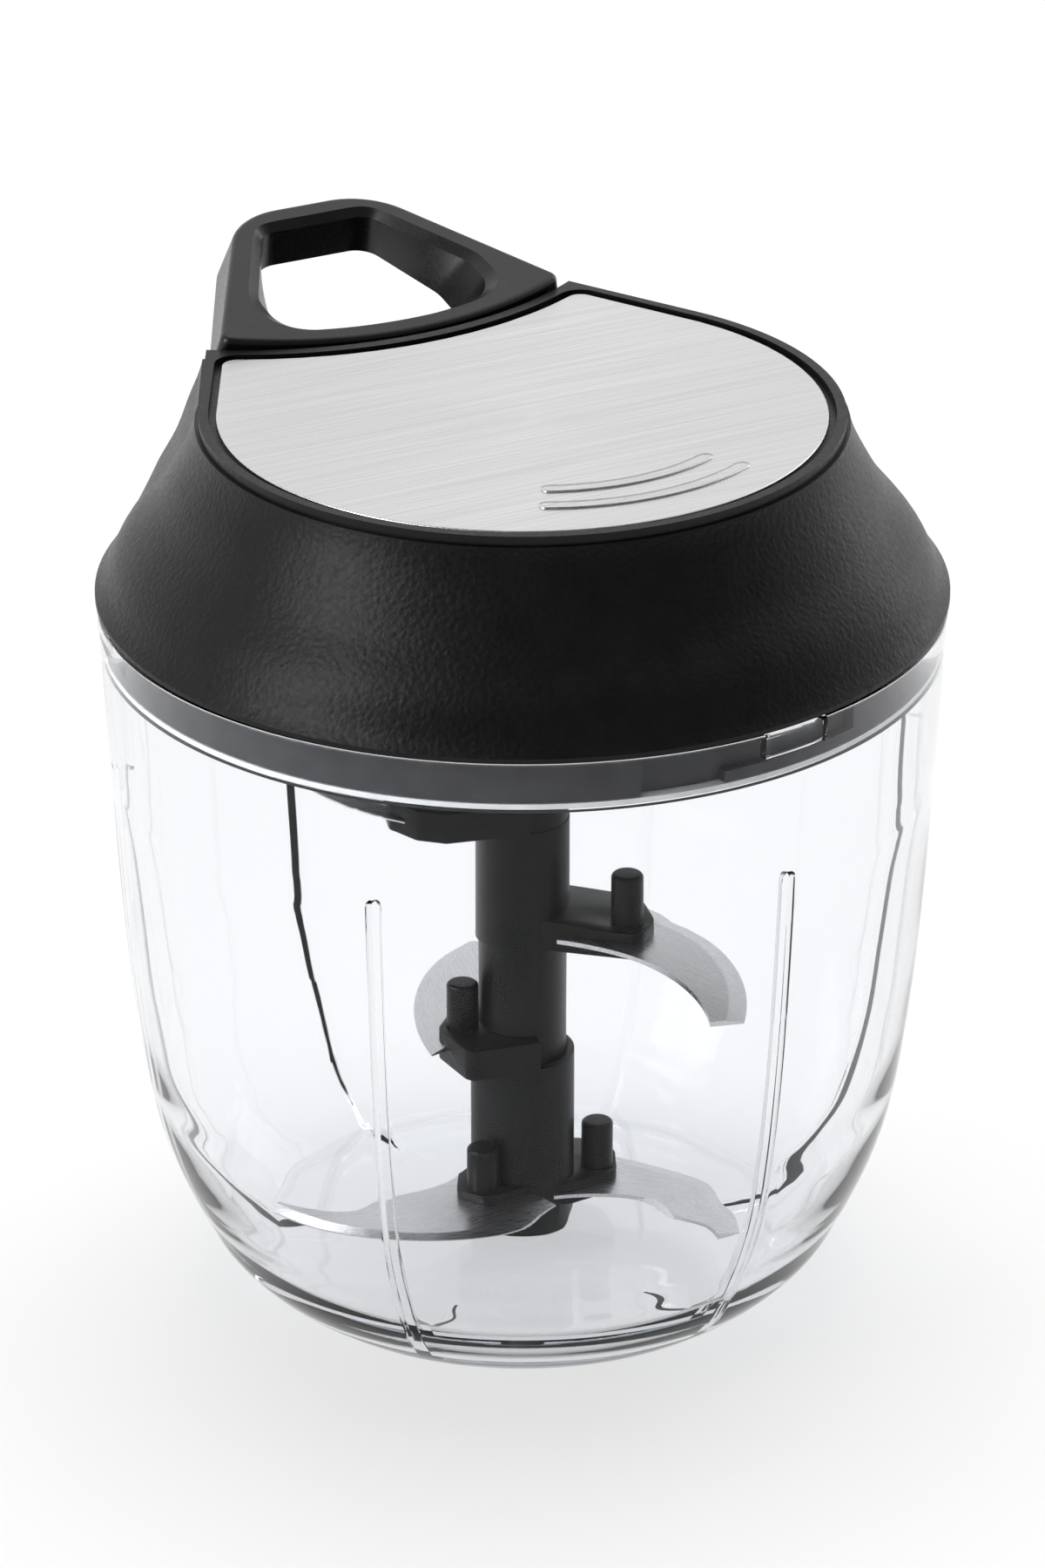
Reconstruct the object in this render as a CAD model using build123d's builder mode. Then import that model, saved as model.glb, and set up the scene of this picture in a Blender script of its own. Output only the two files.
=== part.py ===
from build123d import *
from math import asin, cos, degrees, radians, sin, sqrt
import os

os.makedirs("parts", exist_ok=True)

# Fits
overrun = 2.0  # how far a cut runs past the face it opens
bury = 0.8  # how far an added feature runs into the wall it grows from
running_gap = 0.05  # radial room of a journal in its bearing
seat_gap = 0.1  # room between fitted pieces that stay still
move_gap = 0.4  # room between pieces that move past each other

# Bowl
bowl_height = 110.5
bowl_rim_radius = 63.4
bowl_foot_radius = 40.6
foot_wall = 1.0  # inside of the floor in from the foot
bowl_floor = 4.0
bowl_wall = 2.4
# Share of the way from the foot's radius to the rim's, share of the height
bowl_profile_shares = (
    (0.0, 0.0), (0.193, 0.036), (0.338, 0.072), (0.43, 0.109), (0.513, 0.145), (0.649, 0.217), (0.732, 0.29),
    (0.785, 0.362), (0.868, 0.525), (0.934, 0.742), (0.942, 0.77), (1.0, 1.0))
rim_bore_wall = 2.0
rim_bore_depth = 8.0
rim_round = 0.6
rib_count = 6
rib_width = 2.2
rib_depth = 1.4
rib_top_share = 0.77
lug_count = 3
lug_angle = -78.5
lug_arc = 10.6
lug_depth = 1.7
lug_height = 3.2
lug_drop = 1.3  # lug top below the rim
floor_boss_radius = 5.2
floor_boss_height = 1.0
pin_radius = 2.0
pin_sink = 2.8
pin_length = 14.8
pin_chamfer = 0.5

# Lid base and seal
skirt_room = 0.5  # skirt in from the rim's bore
skirt_wall = 5.1
skirt_depth = 6.6  # skirt below the bowl's rim
skirt_rise = 0.3  # skirt above the bowl's rim
spigot_step = 2.3  # spigot in from the skirt
spigot_height = 2.6
lid_floor_depth = 4.5  # underside of the lid's floor below the bowl's rim
lid_floor = 2.0
channel_arc = 34.6  # locking channel from its entry to its far end
channel_lead = 17.4  # turn that brings a lug to the entry
entry_arc = 12.0
seal_width = 4.4
seal_height = 0.8
bead_inset = 1.3  # middle of the bead out from the seal's inside
bead_width = 1.0
bead_height = 1.3
tube_radius = 13.0
tube_depth = 11.0  # bearing tube below the lid's floor top
screw_count = 4
screw_angle = 45.0
screw_inset = 13.8  # screws in from the skirt's inside
screw_radius = 1.3
screw_head_radius = 3.0
screw_head_height = 1.2
screw_length = 12.0

# Lid housing
lip_gap = 0.4  # lid above the bowl's rim
lip_proud = 0.2  # lid's lip out from the bowl's rim
neck_radius = 48.1
lid_height = 28.1
# Share of the way from the neck's radius to the lip's, share of the lid's height
bell_profile_shares = (
    (1.0, 0.025), (0.91, 0.09), (0.795, 0.219), (0.61, 0.363), (0.4, 0.507), (0.245, 0.651), (0.11, 0.795),
    (0.0, 1.0))
neck_inset = 0.05  # neck inside the bell at the top, where both are round
neck_sink = 0.4  # neck inside the bell lower down
# Share of the lid's height below its top, then of the lid's height by which the neck has flared there
neck_flare_shares = (
    (0.107, 0.03), (0.178, 0.057), (0.249, 0.085), (0.391, 0.125), (0.534, 0.178), (0.676, 0.23),
    (0.783, 0.25), (0.925, 0.25))
bezel_rise = 1.5  # bezel above the groove that sets it off from the bell
bezel_inset = 0.3
# Second circle of the drop, as shares of the neck's radius
drop_offset_share = 0.795
drop_radius_share = 0.622
bite_radius = 56.8
nest_wall = 4.2  # between the reel's room and the handle's nest
nest_depth = 8.0
bell_wall_lip = 2.4
shoulder_step = 0.3  # shoulder of the bell's inside out from the neck
shoulder_wall = 2.0
reel_room = 5.0  # room round the reel's flanges
bezel_width = 1.8
plate_gap = 1.1
plate_recess = 1.1
recess_floor = 1.6
corner_round = 2.4
axle_boss_radius = 7.0
axle_boss_height = 3.3
screw_boss_radius = 3.8

# Steel plate
plate_thickness = 0.85
plate_round = 0.3
bow_width = 2.2
bow_height = 0.25
bow_shift = 2.3  # bows off the middle, toward +X
# Raised bows as shares of the plate's radius: half their width, then how far out their middle and ends are
bow_shares = ((0.285, 0.684, 0.622), (0.354, 0.823, 0.739))

# Handle
handle_tilt = 11.6
handle_thickness = 7.3
handle_gap = 1.2  # handle out from the wall of its nest
handle_rise = 0.3  # handle's near edge above the lid
handle_near_half = 28.9
corner_ease = 0.80184  # near corners of the handle back from the curve of its nest
handle_length = 38.7
handle_far_half = 11.3
handle_far_round = 11.5
handle_corner_round = 1.6
handle_flare = 1.6
handle_edge = 0.9
loop_bevel = 1.2
# Near edge of the finger loop as a share of the handle's length, at its top and at its foot
loop_top_near_share = 0.114
loop_foot_near_share = 0.145
# Near, side and far corners of the loop: share of the handle's near half width, share of its length
loop_top_shares = ((0.65, 0.189), (0.64, 0.429), (0.311, 0.881))
loop_foot_shares = ((0.491, 0.212), (0.495, 0.475), (0.325, 0.886))
loop_top_rounds = (7.0, 8.0, 3.2)
loop_foot_rounds = (5.0, 9.0, 4.0)

# Cord, eyelet and knot
cord_radius = 1.0
cord_drop = 4.6  # cord below the lid's top
eyelet_bore = 1.35
eyelet_radius = 2.0
eyelet_flange_radius = 2.6
eyelet_flange = 0.6
knot_radius = 1.8
knot_length = 1.8
knot_round = 0.6
knot_sink = 2.2
cord_bend = 6.0
cord_level_run = 15.5  # cord runs level from the reel this far before it rises

# Reel
winding_radius = 20.0
winding_pitch = 2.6
winding_turns = 4
winding_samples = 240  # points at which the winding's gap to itself is measured
winding_drop = 3.0  # top turn of the cord below the reel's top
reel_rise = 2.6  # reel above the lid's floor
reel_headroom = 2.1
flange_radius = 25.0
flange_thickness = 1.2
flange_drop = 14.7  # lower flange's top below the upper flange's top
ratchet_radius = 17.0
ratchet_depth = 3.6
tooth_count = 12
tooth_depth = 1.5
tooth_arc = 18.0
reel_web = 1.8
chamber_radius = 16.5
cover_radius = 17.4
cover_thickness = 1.4
cover_drop = 3.0  # cover's top below the reel's top
cover_hole = 3.8

# Recoil spring
spring_inner_radius = 4.0
spring_strip = 0.5
spring_pitch = 1.5
spring_half_turns = 15
spring_headroom = 3.2
spring_rise = 0.6

# Axle
axle_radius = 3.0
axle_thread_radius = 2.2
axle_thread_length = 3.6
axle_head_radius = 5.0
axle_head = 1.6
washer_radius = 7.0
washer_thickness = 0.8
axle_play = 0.3

# Drive socket and clutch
drive_radius = 9.0
drive_length = 22.4
drive_flange_radius = 14.0
drive_flange = 1.8
drive_float = 0.3
drive_spigot_radius = 8.0
drive_spigot_height = 2.6
drive_well_radius = 5.9
drive_well_depth = 9.0
socket_radius = 6.3
socket_depth = 15.0
socket_lead = 1.4
bush_wall = 1.6
dog_count = 3
dog_arc = 36.0
clip_groove = 0.7
clip_thickness = 1.0
clip_width = 1.9
clip_arc = 300.0
rotor_radius = 11.6
rotor_thickness = 2.2
finger_count = 3
finger_arc = 52.0
finger_width = 1.3
finger_lead = 3.0
key_width = 2.2

# Blade post
hub_radius = 7.96
hub_float = 0.3  # hub above the boss that it turns on
hub_length = 28.8
bush_radius = 3.4
hub_bush_length = 11.4
tail_flats = 9.0
tail_length = 6.5
socket_floor_rise = 13.1  # floor of the hub's socket above its foot
shaft_radius = 6.71
head_lift = 0.6  # foot of the post's head above the mouth of its socket
step_radius = 7.14
step_length = 19.2
crown_radius = 6.9
crown_length = 5.0
crown_neck_radius = 5.4
crown_neck_length = 7.6
head_core_radius = 4.2
head_dog_radius = 5.9
head_length = 9.6
arm_thickness = 4.8
arm_round = 2.0
front_arm_reach = 13.8
side_arm_reach = 15.2
rear_arm_reach = 13.5
upper_arm_reach = 20.6
arm_end_share = 0.85  # corners past this share of the reach are round
# Arm outlines as shares of their reach, with x along the arm
front_arm_shares = ((0.0, 0.45), (0.333, 0.435), (1.0, 0.21), (1.0, -0.21), (0.616, -0.449), (0.0, -0.464))
side_arm_shares = ((0.0, 0.55), (0.684, 0.58), (1.0, 0.263), (0.947, -0.158), (0.447, -0.42), (0.0, -0.43))
rear_arm_shares = ((0.0, 0.68), (0.844, 0.68), (1.0, -0.015), (0.748, -0.37), (0.5, -0.48), (0.0, -0.48))
upper_arm_shares = (
    (0.0, 0.369), (0.63, 0.417), (0.835, 0.32), (1.0, 0.097), (1.0, -0.184), (0.155, -0.252), (0.0, -0.262))
collar_gap = 0.3
front_arm_rise = 3.8
side_arm_rise = 2.8

# Blades
blade_thickness = 0.8
blade_rise = 2.0  # blade above the underside of its arm
bevel_width = 2.6
bevel_depth = 0.55
blade_pin_radius = 2.45
blade_pin_height = 7.7
blade_pin_sole = 0.8
blade_pin_round = 0.7
front_pin_circle = 10.8
side_pin_circle = 11.7
rear_pin_circle = 9.6
# Pins of the upper blades out from the axis, as shares of their blade's reach
middle_pin_share = 0.346939
top_pin_share = 0.361702
# Bowl's inner wall by each blade, as a share of the way from the floor's radius to the rim's
front_wall_share = 0.4
side_wall_share = 0.35
rear_wall_share = 0.75
middle_wall_share = 0.85
top_wall_share = 0.9
# Tip of each blade in from that wall
front_tip_room = 6.16
side_tip_room = 8.29
rear_tip_room = 19.65
middle_tip_room = 8.79
top_tip_room = 11.86
front_tip_angle = 170.5
side_tip_angle = -58.5
rear_tip_angle = 74.2
middle_tip_angle = -77.9
top_tip_angle = 120.0
front_arm_angle = -152.0
side_arm_angle = -19.0
rear_arm_angle = 170.0
middle_arm_angle = -50.0
top_arm_angle = 162.0
# Outline as shares of the reach, tip on x: root, middle and tip of the leading edge, then tip, middle and
# root behind
lower_blade_shares = (
    (-0.032, 0.294), (0.458, 0.386), (0.985, 0.03), (0.93, -0.05), (0.578, 0.072), (0.2, -0.09))
rear_blade_shares = (
    (-0.13, 0.42), (0.36, 0.4), (0.99, 0.02), (0.92, -0.06), (0.5, 0.06), (0.12, -0.1))
upper_blade_shares = (
    (0.08, 0.31), (0.49, 0.326), (0.994, 0.027), (0.947, -0.065), (0.588, 0.063), (0.2, -0.03))


# Upright plane through the axis, with its x running outward at the given angle
def radial_plane(angle):
    turn = radians(angle)
    return Plane(origin=(0, 0, 0), x_dir=(cos(turn), sin(turn), 0), z_dir=(sin(turn), -cos(turn), 0))


# Point at a radius and an angle
def polar(radius, angle):
    return (radius * cos(radians(angle)), radius * sin(radians(angle)))


# Rectangle on a radial plane, for turned blocks
def block_face(angle, inner, outer, low, high):
    with BuildSketch(radial_plane(angle)) as face:
        with Locations(((inner + outer) / 2, (low + high) / 2)):
            Rectangle(outer - inner, high - low)
    return face.sketch


# Points of a profile between two radii and two heights
def profile_points(shares, first_radius, last_radius, low, high):
    return [(first_radius + (last_radius - first_radius) * a, low + (high - low) * b) for a, b in shares]


# Drop outline: a circle on the axis, a second circle toward the handle and their two common tangents
def drop_face(height, radius, offset, second_radius):
    lean = asin((radius - second_radius) / offset)
    side, rise = cos(lean), sin(lean)
    with BuildSketch(Plane.XY.offset(height)) as face:
        with BuildLine():
            ThreePointArc((radius * side, radius * rise), (0, -radius), (-radius * side, radius * rise))
            Line((-radius * side, radius * rise), (-second_radius * side, offset + second_radius * rise))
            ThreePointArc((-second_radius * side, offset + second_radius * rise), (0, offset + second_radius),
                          (second_radius * side, offset + second_radius * rise))
            Line((second_radius * side, offset + second_radius * rise), (radius * side, radius * rise))
        make_face()
    return face.sketch


# Drop outline inset from the lid's edge, with the bite taken out and its corners rounded
def plate_face(height, inset, rounding):
    second_radius = neck_radius * drop_radius_share
    with BuildSketch(Plane.XY.offset(height)) as face:
        add(drop_face(0, neck_radius - inset, neck_radius * drop_offset_share, second_radius - inset))
        with Locations((0, bite_centre)):
            Circle(bite_radius + inset, mode=Mode.SUBTRACT)
        fillet(face.vertices().sort_by(Axis.Y)[-2:], rounding)
    return face.sketch


# Blade outline at its height, turned to its tip angle and kept clear of the post's middle
def blade_face(height, shares, reach, angle, root_radius):
    root, lead, tip, heel, behind, foot = [(reach * a, reach * b) for a, b in shares]
    with BuildSketch(Plane.XY.offset(height).rotated((0, 0, angle))) as face:
        with BuildLine():
            ThreePointArc(root, lead, tip)
            Line(tip, heel)
            ThreePointArc(heel, behind, foot)
            Line(foot, root)
        make_face()
        Circle(root_radius, mode=Mode.SUBTRACT)
    return face.sketch


# Bevel ground along the leading edge, as a triangle to turn round that edge's centre, and the centre's axis
def bevel_section(height, shares, reach, angle):
    root, lead, tip = [(reach * a, reach * b) for a, b in shares[:3]]
    with BuildLine(Plane.XY.rotated((0, 0, angle)), mode=Mode.PRIVATE) as edge:
        ThreePointArc(root, lead, tip)
    centre = edge.edges()[0].arc_center
    edge_radius = edge.edges()[0].radius
    with BuildSketch(Plane(origin=(centre.X, centre.Y, height), x_dir=(1, 0, 0), z_dir=(0, -1, 0))) as face:
        with BuildLine():
            Polyline((edge_radius - bevel_width, 0), (edge_radius, -bevel_depth),
                     (edge_radius + overrun, -bevel_depth), (edge_radius + overrun, 0), close=True)
        make_face()
    return face.sketch, Axis((centre.X, centre.Y, 0), (0, 0, 1))


# Arm of the post: a tongue from the axis with rounded corners at its end
def arm_face(height, shares, reach, angle):
    with BuildSketch(Plane.XY.offset(height).rotated((0, 0, angle))) as face:
        with BuildLine():
            Polyline(*[(reach * a, reach * b) for a, b in shares], close=True)
        make_face()
        ends = [v for v in face.vertices() if Vector(v.X, v.Y, 0).length > reach * arm_end_share]
        fillet(ends, arm_round)
    return face.sketch


# Round face off the axis
def pin_face(height, circle_radius, angle, radius):
    with BuildSketch(Plane.XY.offset(height)) as face:
        with Locations(polar(circle_radius, angle)):
            Circle(radius)
    return face.sketch


# Radii and runs that several pieces share
bowl_floor_radius = bowl_foot_radius - foot_wall
bowl_inner_rim = bowl_rim_radius - bowl_wall
rim_bore_radius = bowl_rim_radius - rim_bore_wall
skirt_radius = rim_bore_radius - skirt_room
skirt_inner_radius = skirt_radius - skirt_wall
spigot_radius = skirt_radius - spigot_step
seal_radius = rim_bore_radius - move_gap
seal_inner_radius = seal_radius - seal_width
bead_radius = seal_inner_radius + bead_inset
screw_circle_radius = skirt_inner_radius - screw_inset
lip_radius = bowl_rim_radius + lip_proud
shoulder_radius = neck_radius + shoulder_step
reel_room_radius = flange_radius + reel_room
bite_centre = reel_room_radius + nest_wall + bite_radius
handle_near = bite_centre - bite_radius + handle_gap
nest_sag = bite_radius - sqrt(bite_radius * bite_radius - handle_near_half * handle_near_half)
handle_corner_run = nest_sag - corner_ease
hub_root_radius = hub_radius - bury
shaft_root_radius = shaft_radius - bury
wall_spread = bowl_inner_rim - bowl_floor_radius
front_reach = bowl_floor_radius + wall_spread * front_wall_share - front_tip_room
side_reach = bowl_floor_radius + wall_spread * side_wall_share - side_tip_room
rear_reach = bowl_floor_radius + wall_spread * rear_wall_share - rear_tip_room
middle_reach = bowl_floor_radius + wall_spread * middle_wall_share - middle_tip_room
top_reach = bowl_floor_radius + wall_spread * top_wall_share - top_tip_room
middle_pin_circle = middle_reach * middle_pin_share
top_pin_circle = top_reach * top_pin_share

# Heights that several pieces share
lip_z = bowl_height + lip_gap
lid_top = lip_z + lid_height
lid_floor_top = bowl_height - lid_floor_depth + lid_floor
skirt_bottom = bowl_height - skirt_depth
recess_z = lid_top - plate_recess
ceiling_z = recess_z - recess_floor
ledge_z = bowl_height - rim_bore_depth
lug_top = bowl_height - lug_drop
nest_floor = lid_top - nest_depth
shoulder_z = nest_floor - shoulder_wall
handle_near_height = lid_top + handle_rise
cord_height = lid_top - cord_drop
tube_bottom = lid_floor_top - tube_depth
drive_seat = lid_floor_top + drive_float
drive_bottom = drive_seat - drive_length
hub_bottom = bowl_floor + floor_boss_height + hub_float
hub_top = hub_bottom + hub_length
socket_floor = hub_bottom + socket_floor_rise
neck_top = drive_bottom + head_lift
crown_top = neck_top - crown_neck_length
step_top = crown_top - crown_length
shaft_step = step_top - step_length
front_arm_z = hub_bottom + front_arm_rise
side_arm_z = hub_bottom + side_arm_rise
rear_arm_z = hub_top + collar_gap
reel_bottom = lid_floor_top + reel_rise
reel_top = ceiling_z - reel_headroom
winding_top = reel_top - winding_drop
web_bottom = reel_bottom + ratchet_depth
web_top = web_bottom + reel_web
cover_bottom = reel_top - cover_drop - cover_thickness
spring_width = cover_bottom - web_top - spring_rise - spring_headroom
boss_bottom = ceiling_z - axle_boss_height

# Clear bowl with inner ribs, a bored rim and three locking lugs
with BuildPart() as bowl:
    outer_points = profile_points(bowl_profile_shares, bowl_foot_radius, bowl_rim_radius, 0, bowl_height)
    inner_points = profile_points(
        bowl_profile_shares, bowl_floor_radius, bowl_inner_rim, bowl_floor, bowl_height)
    with BuildSketch(Plane.XZ):
        with BuildLine():
            Line((0, bowl_floor), (0, 0))
            Line((0, 0), outer_points[0])
            Spline(*outer_points)
            Line(outer_points[-1], inner_points[-1])
            Spline(*inner_points[::-1])
            Line(inner_points[0], (0, bowl_floor))
        make_face()
    revolve(axis=Axis.Z)
    with BuildSketch(Plane.XY.offset(ledge_z)):
        Circle(rim_bore_radius)
    extrude(amount=rim_bore_depth + overrun, mode=Mode.SUBTRACT)
    fillet(bowl.faces().sort_by(Axis.Z)[-1].edges(), rim_round)
    # Upright ribs with round tops
    rib_points = [p for p, s in zip(inner_points, bowl_profile_shares) if s[1] <= rib_top_share]
    rib_face_points = [(r - rib_depth, z) for r, z in rib_points]
    rib_root_points = [(r + bury, z) for r, z in rib_points]
    for k in range(rib_count):
        rib_angle = lug_angle + k * 360 / rib_count
        with BuildSketch(radial_plane(rib_angle)):
            with BuildLine():
                Spline(*rib_face_points)
                Line(rib_face_points[-1], rib_root_points[-1])
                Spline(*rib_root_points[::-1])
                Line(rib_root_points[0], (rib_root_points[0][0], bowl_floor - bury))
                Line((rib_root_points[0][0], bowl_floor - bury), (rib_face_points[0][0], bowl_floor - bury))
                Line((rib_face_points[0][0], bowl_floor - bury), rib_face_points[0])
            make_face()
        extrude(amount=rib_width / 2, both=True)
        top_radius, top_z = rib_face_points[-1]
        outward = radial_plane(rib_angle).x_dir
        with BuildSketch(Plane(origin=outward * top_radius + Vector(0, 0, top_z), z_dir=outward)):
            Circle(rib_width / 2)
        extrude(amount=rib_depth + bury)
    # Locking lugs inside the rim
    for k in range(lug_count):
        lug_start = lug_angle - lug_arc / 2 + k * 360 / lug_count
        lug = block_face(lug_start, rim_bore_radius - lug_depth, rim_bore_radius + bury,
                         lug_top - lug_height, lug_top)
        revolve(lug, axis=Axis.Z, revolution_arc=lug_arc)
    # Boss and blind hole of the pivot pin
    with BuildSketch(Plane.XY.offset(bowl_floor - bury)):
        Circle(floor_boss_radius)
    extrude(amount=bury + floor_boss_height)
    with BuildSketch(Plane.XY.offset(bowl_floor - pin_sink)):
        Circle(pin_radius)
    extrude(amount=pin_sink + floor_boss_height + overrun, mode=Mode.SUBTRACT)

# Steel pin that the post turns on
with BuildPart() as pivot_pin:
    with BuildSketch(Plane.XY.offset(bowl_floor - pin_sink)):
        Circle(pin_radius)
    extrude(amount=pin_length)
    chamfer(pivot_pin.faces().sort_by(Axis.Z)[-1].edges(), pin_chamfer)

# Floor of the lid with its skirt, spigot, bearing tube and locking channels
with BuildPart() as lid_base:
    skirt_top = bowl_height + skirt_rise
    with BuildSketch(Plane.XZ):
        with BuildLine():
            Polyline((tube_radius - bush_wall, tube_bottom), (tube_radius, tube_bottom),
                     (tube_radius, lid_floor_top - lid_floor),
                     (skirt_inner_radius, lid_floor_top - lid_floor), (skirt_inner_radius, skirt_bottom),
                     (skirt_radius, skirt_bottom), (skirt_radius, skirt_top),
                     (spigot_radius, skirt_top), (spigot_radius, skirt_top + spigot_height),
                     (skirt_inner_radius, skirt_top + spigot_height), (skirt_inner_radius, lid_floor_top),
                     (tube_radius - bush_wall, lid_floor_top), close=True)
        make_face()
    revolve(axis=Axis.Z)
    # Groove for the seal's bead
    groove = block_face(0, bead_radius - bead_width / 2 - seat_gap - seat_gap,
                        bead_radius + bead_width / 2 + seat_gap + seat_gap,
                        skirt_bottom - overrun, skirt_bottom + bead_height + seat_gap)
    revolve(groove, axis=Axis.Z, mode=Mode.SUBTRACT)
    # Locking channels: an entry from below and a level run over the ledge
    for k in range(lug_count):
        entry_start = lug_angle - channel_lead - entry_arc / 2 + k * 360 / lug_count
        channel_floor = rim_bore_radius - lug_depth - move_gap
        run = block_face(entry_start, channel_floor, skirt_radius + overrun, lug_top - lug_height - move_gap,
                         lug_top + move_gap)
        revolve(run, axis=Axis.Z, revolution_arc=channel_arc, mode=Mode.SUBTRACT)
        entry = block_face(entry_start, channel_floor, skirt_radius + overrun, skirt_bottom - overrun,
                           lug_top + move_gap)
        revolve(entry, axis=Axis.Z, revolution_arc=entry_arc, mode=Mode.SUBTRACT)
    # Screw holes with sunk heads
    with BuildSketch(Plane.XY.offset(lid_floor_top - lid_floor - overrun)):
        with PolarLocations(screw_circle_radius, screw_count, start_angle=screw_angle):
            Circle(screw_radius + seat_gap)
    extrude(amount=lid_floor + overrun + overrun, mode=Mode.SUBTRACT)
    with BuildSketch(Plane.XY.offset(lid_floor_top - lid_floor - overrun)):
        with PolarLocations(screw_circle_radius, screw_count, start_angle=screw_angle):
            Circle(screw_head_radius + seat_gap)
    extrude(amount=overrun + screw_head_height, mode=Mode.SUBTRACT)

# Screws up through the lid's floor
with BuildPart() as lid_screws:
    head_z = lid_floor_top - lid_floor
    with BuildSketch(Plane.XY.offset(head_z)):
        with PolarLocations(screw_circle_radius, screw_count, start_angle=screw_angle):
            Circle(screw_head_radius)
    extrude(amount=screw_head_height)
    with BuildSketch(Plane.XY.offset(head_z)):
        with PolarLocations(screw_circle_radius, screw_count, start_angle=screw_angle):
            Circle(screw_radius)
    extrude(amount=screw_length)
    with BuildSketch(Plane.XY.offset(head_z)):
        with PolarLocations(screw_circle_radius, screw_count, start_angle=screw_angle):
            Rectangle(screw_head_radius, screw_radius / 2)
    extrude(amount=screw_head_height / 2, mode=Mode.SUBTRACT)

# Soft ring under the skirt, with a bead in the skirt's groove
with BuildPart() as lid_seal:
    seal_top = skirt_bottom - seat_gap - seat_gap
    with BuildSketch(Plane.XZ):
        with Locations(((seal_inner_radius + seal_radius) / 2, seal_top - seal_height / 2)):
            Rectangle(seal_radius - seal_inner_radius, seal_height)
        with Locations((bead_radius, seal_top + (bead_height - bury) / 2)):
            Rectangle(bead_width, bead_height + bury)
    revolve(axis=Axis.Z)

# Bell of the lid with the drop-shaped neck, bezel, handle nest and inner bosses
with BuildPart() as lid_housing:
    bell_points = profile_points(bell_profile_shares, neck_radius, lip_radius, lip_z, lid_top)
    with BuildLine(mode=Mode.PRIVATE) as bell_line:
        Spline(*bell_points)
    drop_offset = neck_radius * drop_offset_share
    second_radius = neck_radius * drop_radius_share - neck_inset
    neck_faces = [drop_face(lid_top, neck_radius - neck_inset, drop_offset, second_radius)]
    for drop_share, flare_share in neck_flare_shares:
        level = lid_top - lid_height * drop_share
        cut_line = Line((0, level), (lip_radius, level), mode=Mode.PRIVATE)
        bell_radius = bell_line.edges()[0].intersect(cut_line)[0].X
        neck_faces.append(drop_face(level, bell_radius - neck_sink, drop_offset,
                                    second_radius + lid_height * flare_share))
    loft(neck_faces)
    with BuildSketch(Plane.XY.offset(lip_z)):
        with Locations((0, bite_centre)):
            Circle(bite_radius)
    extrude(amount=lid_height + overrun, mode=Mode.SUBTRACT)
    # The neck ends where the lip does
    with BuildSketch(Plane.XY.offset(lip_z)):
        Circle(lip_radius)
    extrude(amount=lid_height + overrun, mode=Mode.INTERSECT)
    with BuildSketch(Plane.XZ):
        with BuildLine():
            Line((0, lip_z), (lip_radius, lip_z))
            Line((lip_radius, lip_z), bell_points[0])
            Spline(*bell_points)
            Line(bell_points[-1], (0, lid_top))
            Line((0, lid_top), (0, lip_z))
        make_face()
    revolve(axis=Axis.Z)
    with BuildSketch(Plane.XY.offset(nest_floor)):
        with Locations((0, bite_centre)):
            Circle(bite_radius)
    extrude(amount=lid_top - nest_floor + overrun, mode=Mode.SUBTRACT)
    # Step that sets the bezel off from the bell
    with BuildSketch(Plane.XY.offset(lid_top - bezel_rise)):
        Circle(lip_radius)
        bezel_face = drop_face(0, neck_radius - bezel_inset, drop_offset, second_radius - bezel_inset)
        add(bezel_face, mode=Mode.SUBTRACT)
    extrude(amount=bezel_rise + overrun, mode=Mode.SUBTRACT)
    # Recess of the steel plate
    extrude(plate_face(recess_z, bezel_width, corner_round + plate_gap), amount=plate_recess + overrun,
            mode=Mode.SUBTRACT)
    # Inside of the bell and room for the reel
    room_points = profile_points(
        bell_profile_shares, shoulder_radius, lip_radius - bell_wall_lip, lip_z, shoulder_z)
    with BuildSketch(Plane.XZ):
        with BuildLine():
            Line((0, lip_z - overrun), (room_points[0][0], lip_z - overrun))
            Line((room_points[0][0], lip_z - overrun), room_points[0])
            Spline(*room_points)
            Polyline(room_points[-1], (reel_room_radius, shoulder_z), (reel_room_radius, ceiling_z),
                     (0, ceiling_z), (0, lip_z - overrun))
        make_face()
    revolve(axis=Axis.Z, mode=Mode.SUBTRACT)
    # Boss of the reel's axle and bosses of the lid's screws
    with BuildSketch(Plane.XY.offset(boss_bottom)):
        Circle(axle_boss_radius)
    extrude(amount=axle_boss_height + bury)
    with BuildSketch(Plane.XY.offset(boss_bottom)):
        Circle(axle_thread_radius)
    extrude(amount=axle_thread_length, mode=Mode.SUBTRACT)
    with BuildSketch(Plane.XY.offset(lid_floor_top)):
        with PolarLocations(screw_circle_radius, screw_count, start_angle=screw_angle):
            Circle(screw_boss_radius)
    extrude(amount=shoulder_z + bury - lid_floor_top)
    with BuildSketch(Plane.XY.offset(lid_floor_top)):
        with PolarLocations(screw_circle_radius, screw_count, start_angle=screw_angle):
            Circle(screw_radius)
    extrude(amount=screw_length - lid_floor, mode=Mode.SUBTRACT)
    # Hole of the cord's eyelet through the bite wall
    with BuildSketch(Plane(origin=(0, reel_room_radius - overrun, cord_height), z_dir=(0, 1, 0))):
        Circle(eyelet_radius)
    extrude(amount=bite_centre - bite_radius - reel_room_radius + overrun + overrun, mode=Mode.SUBTRACT)

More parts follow.
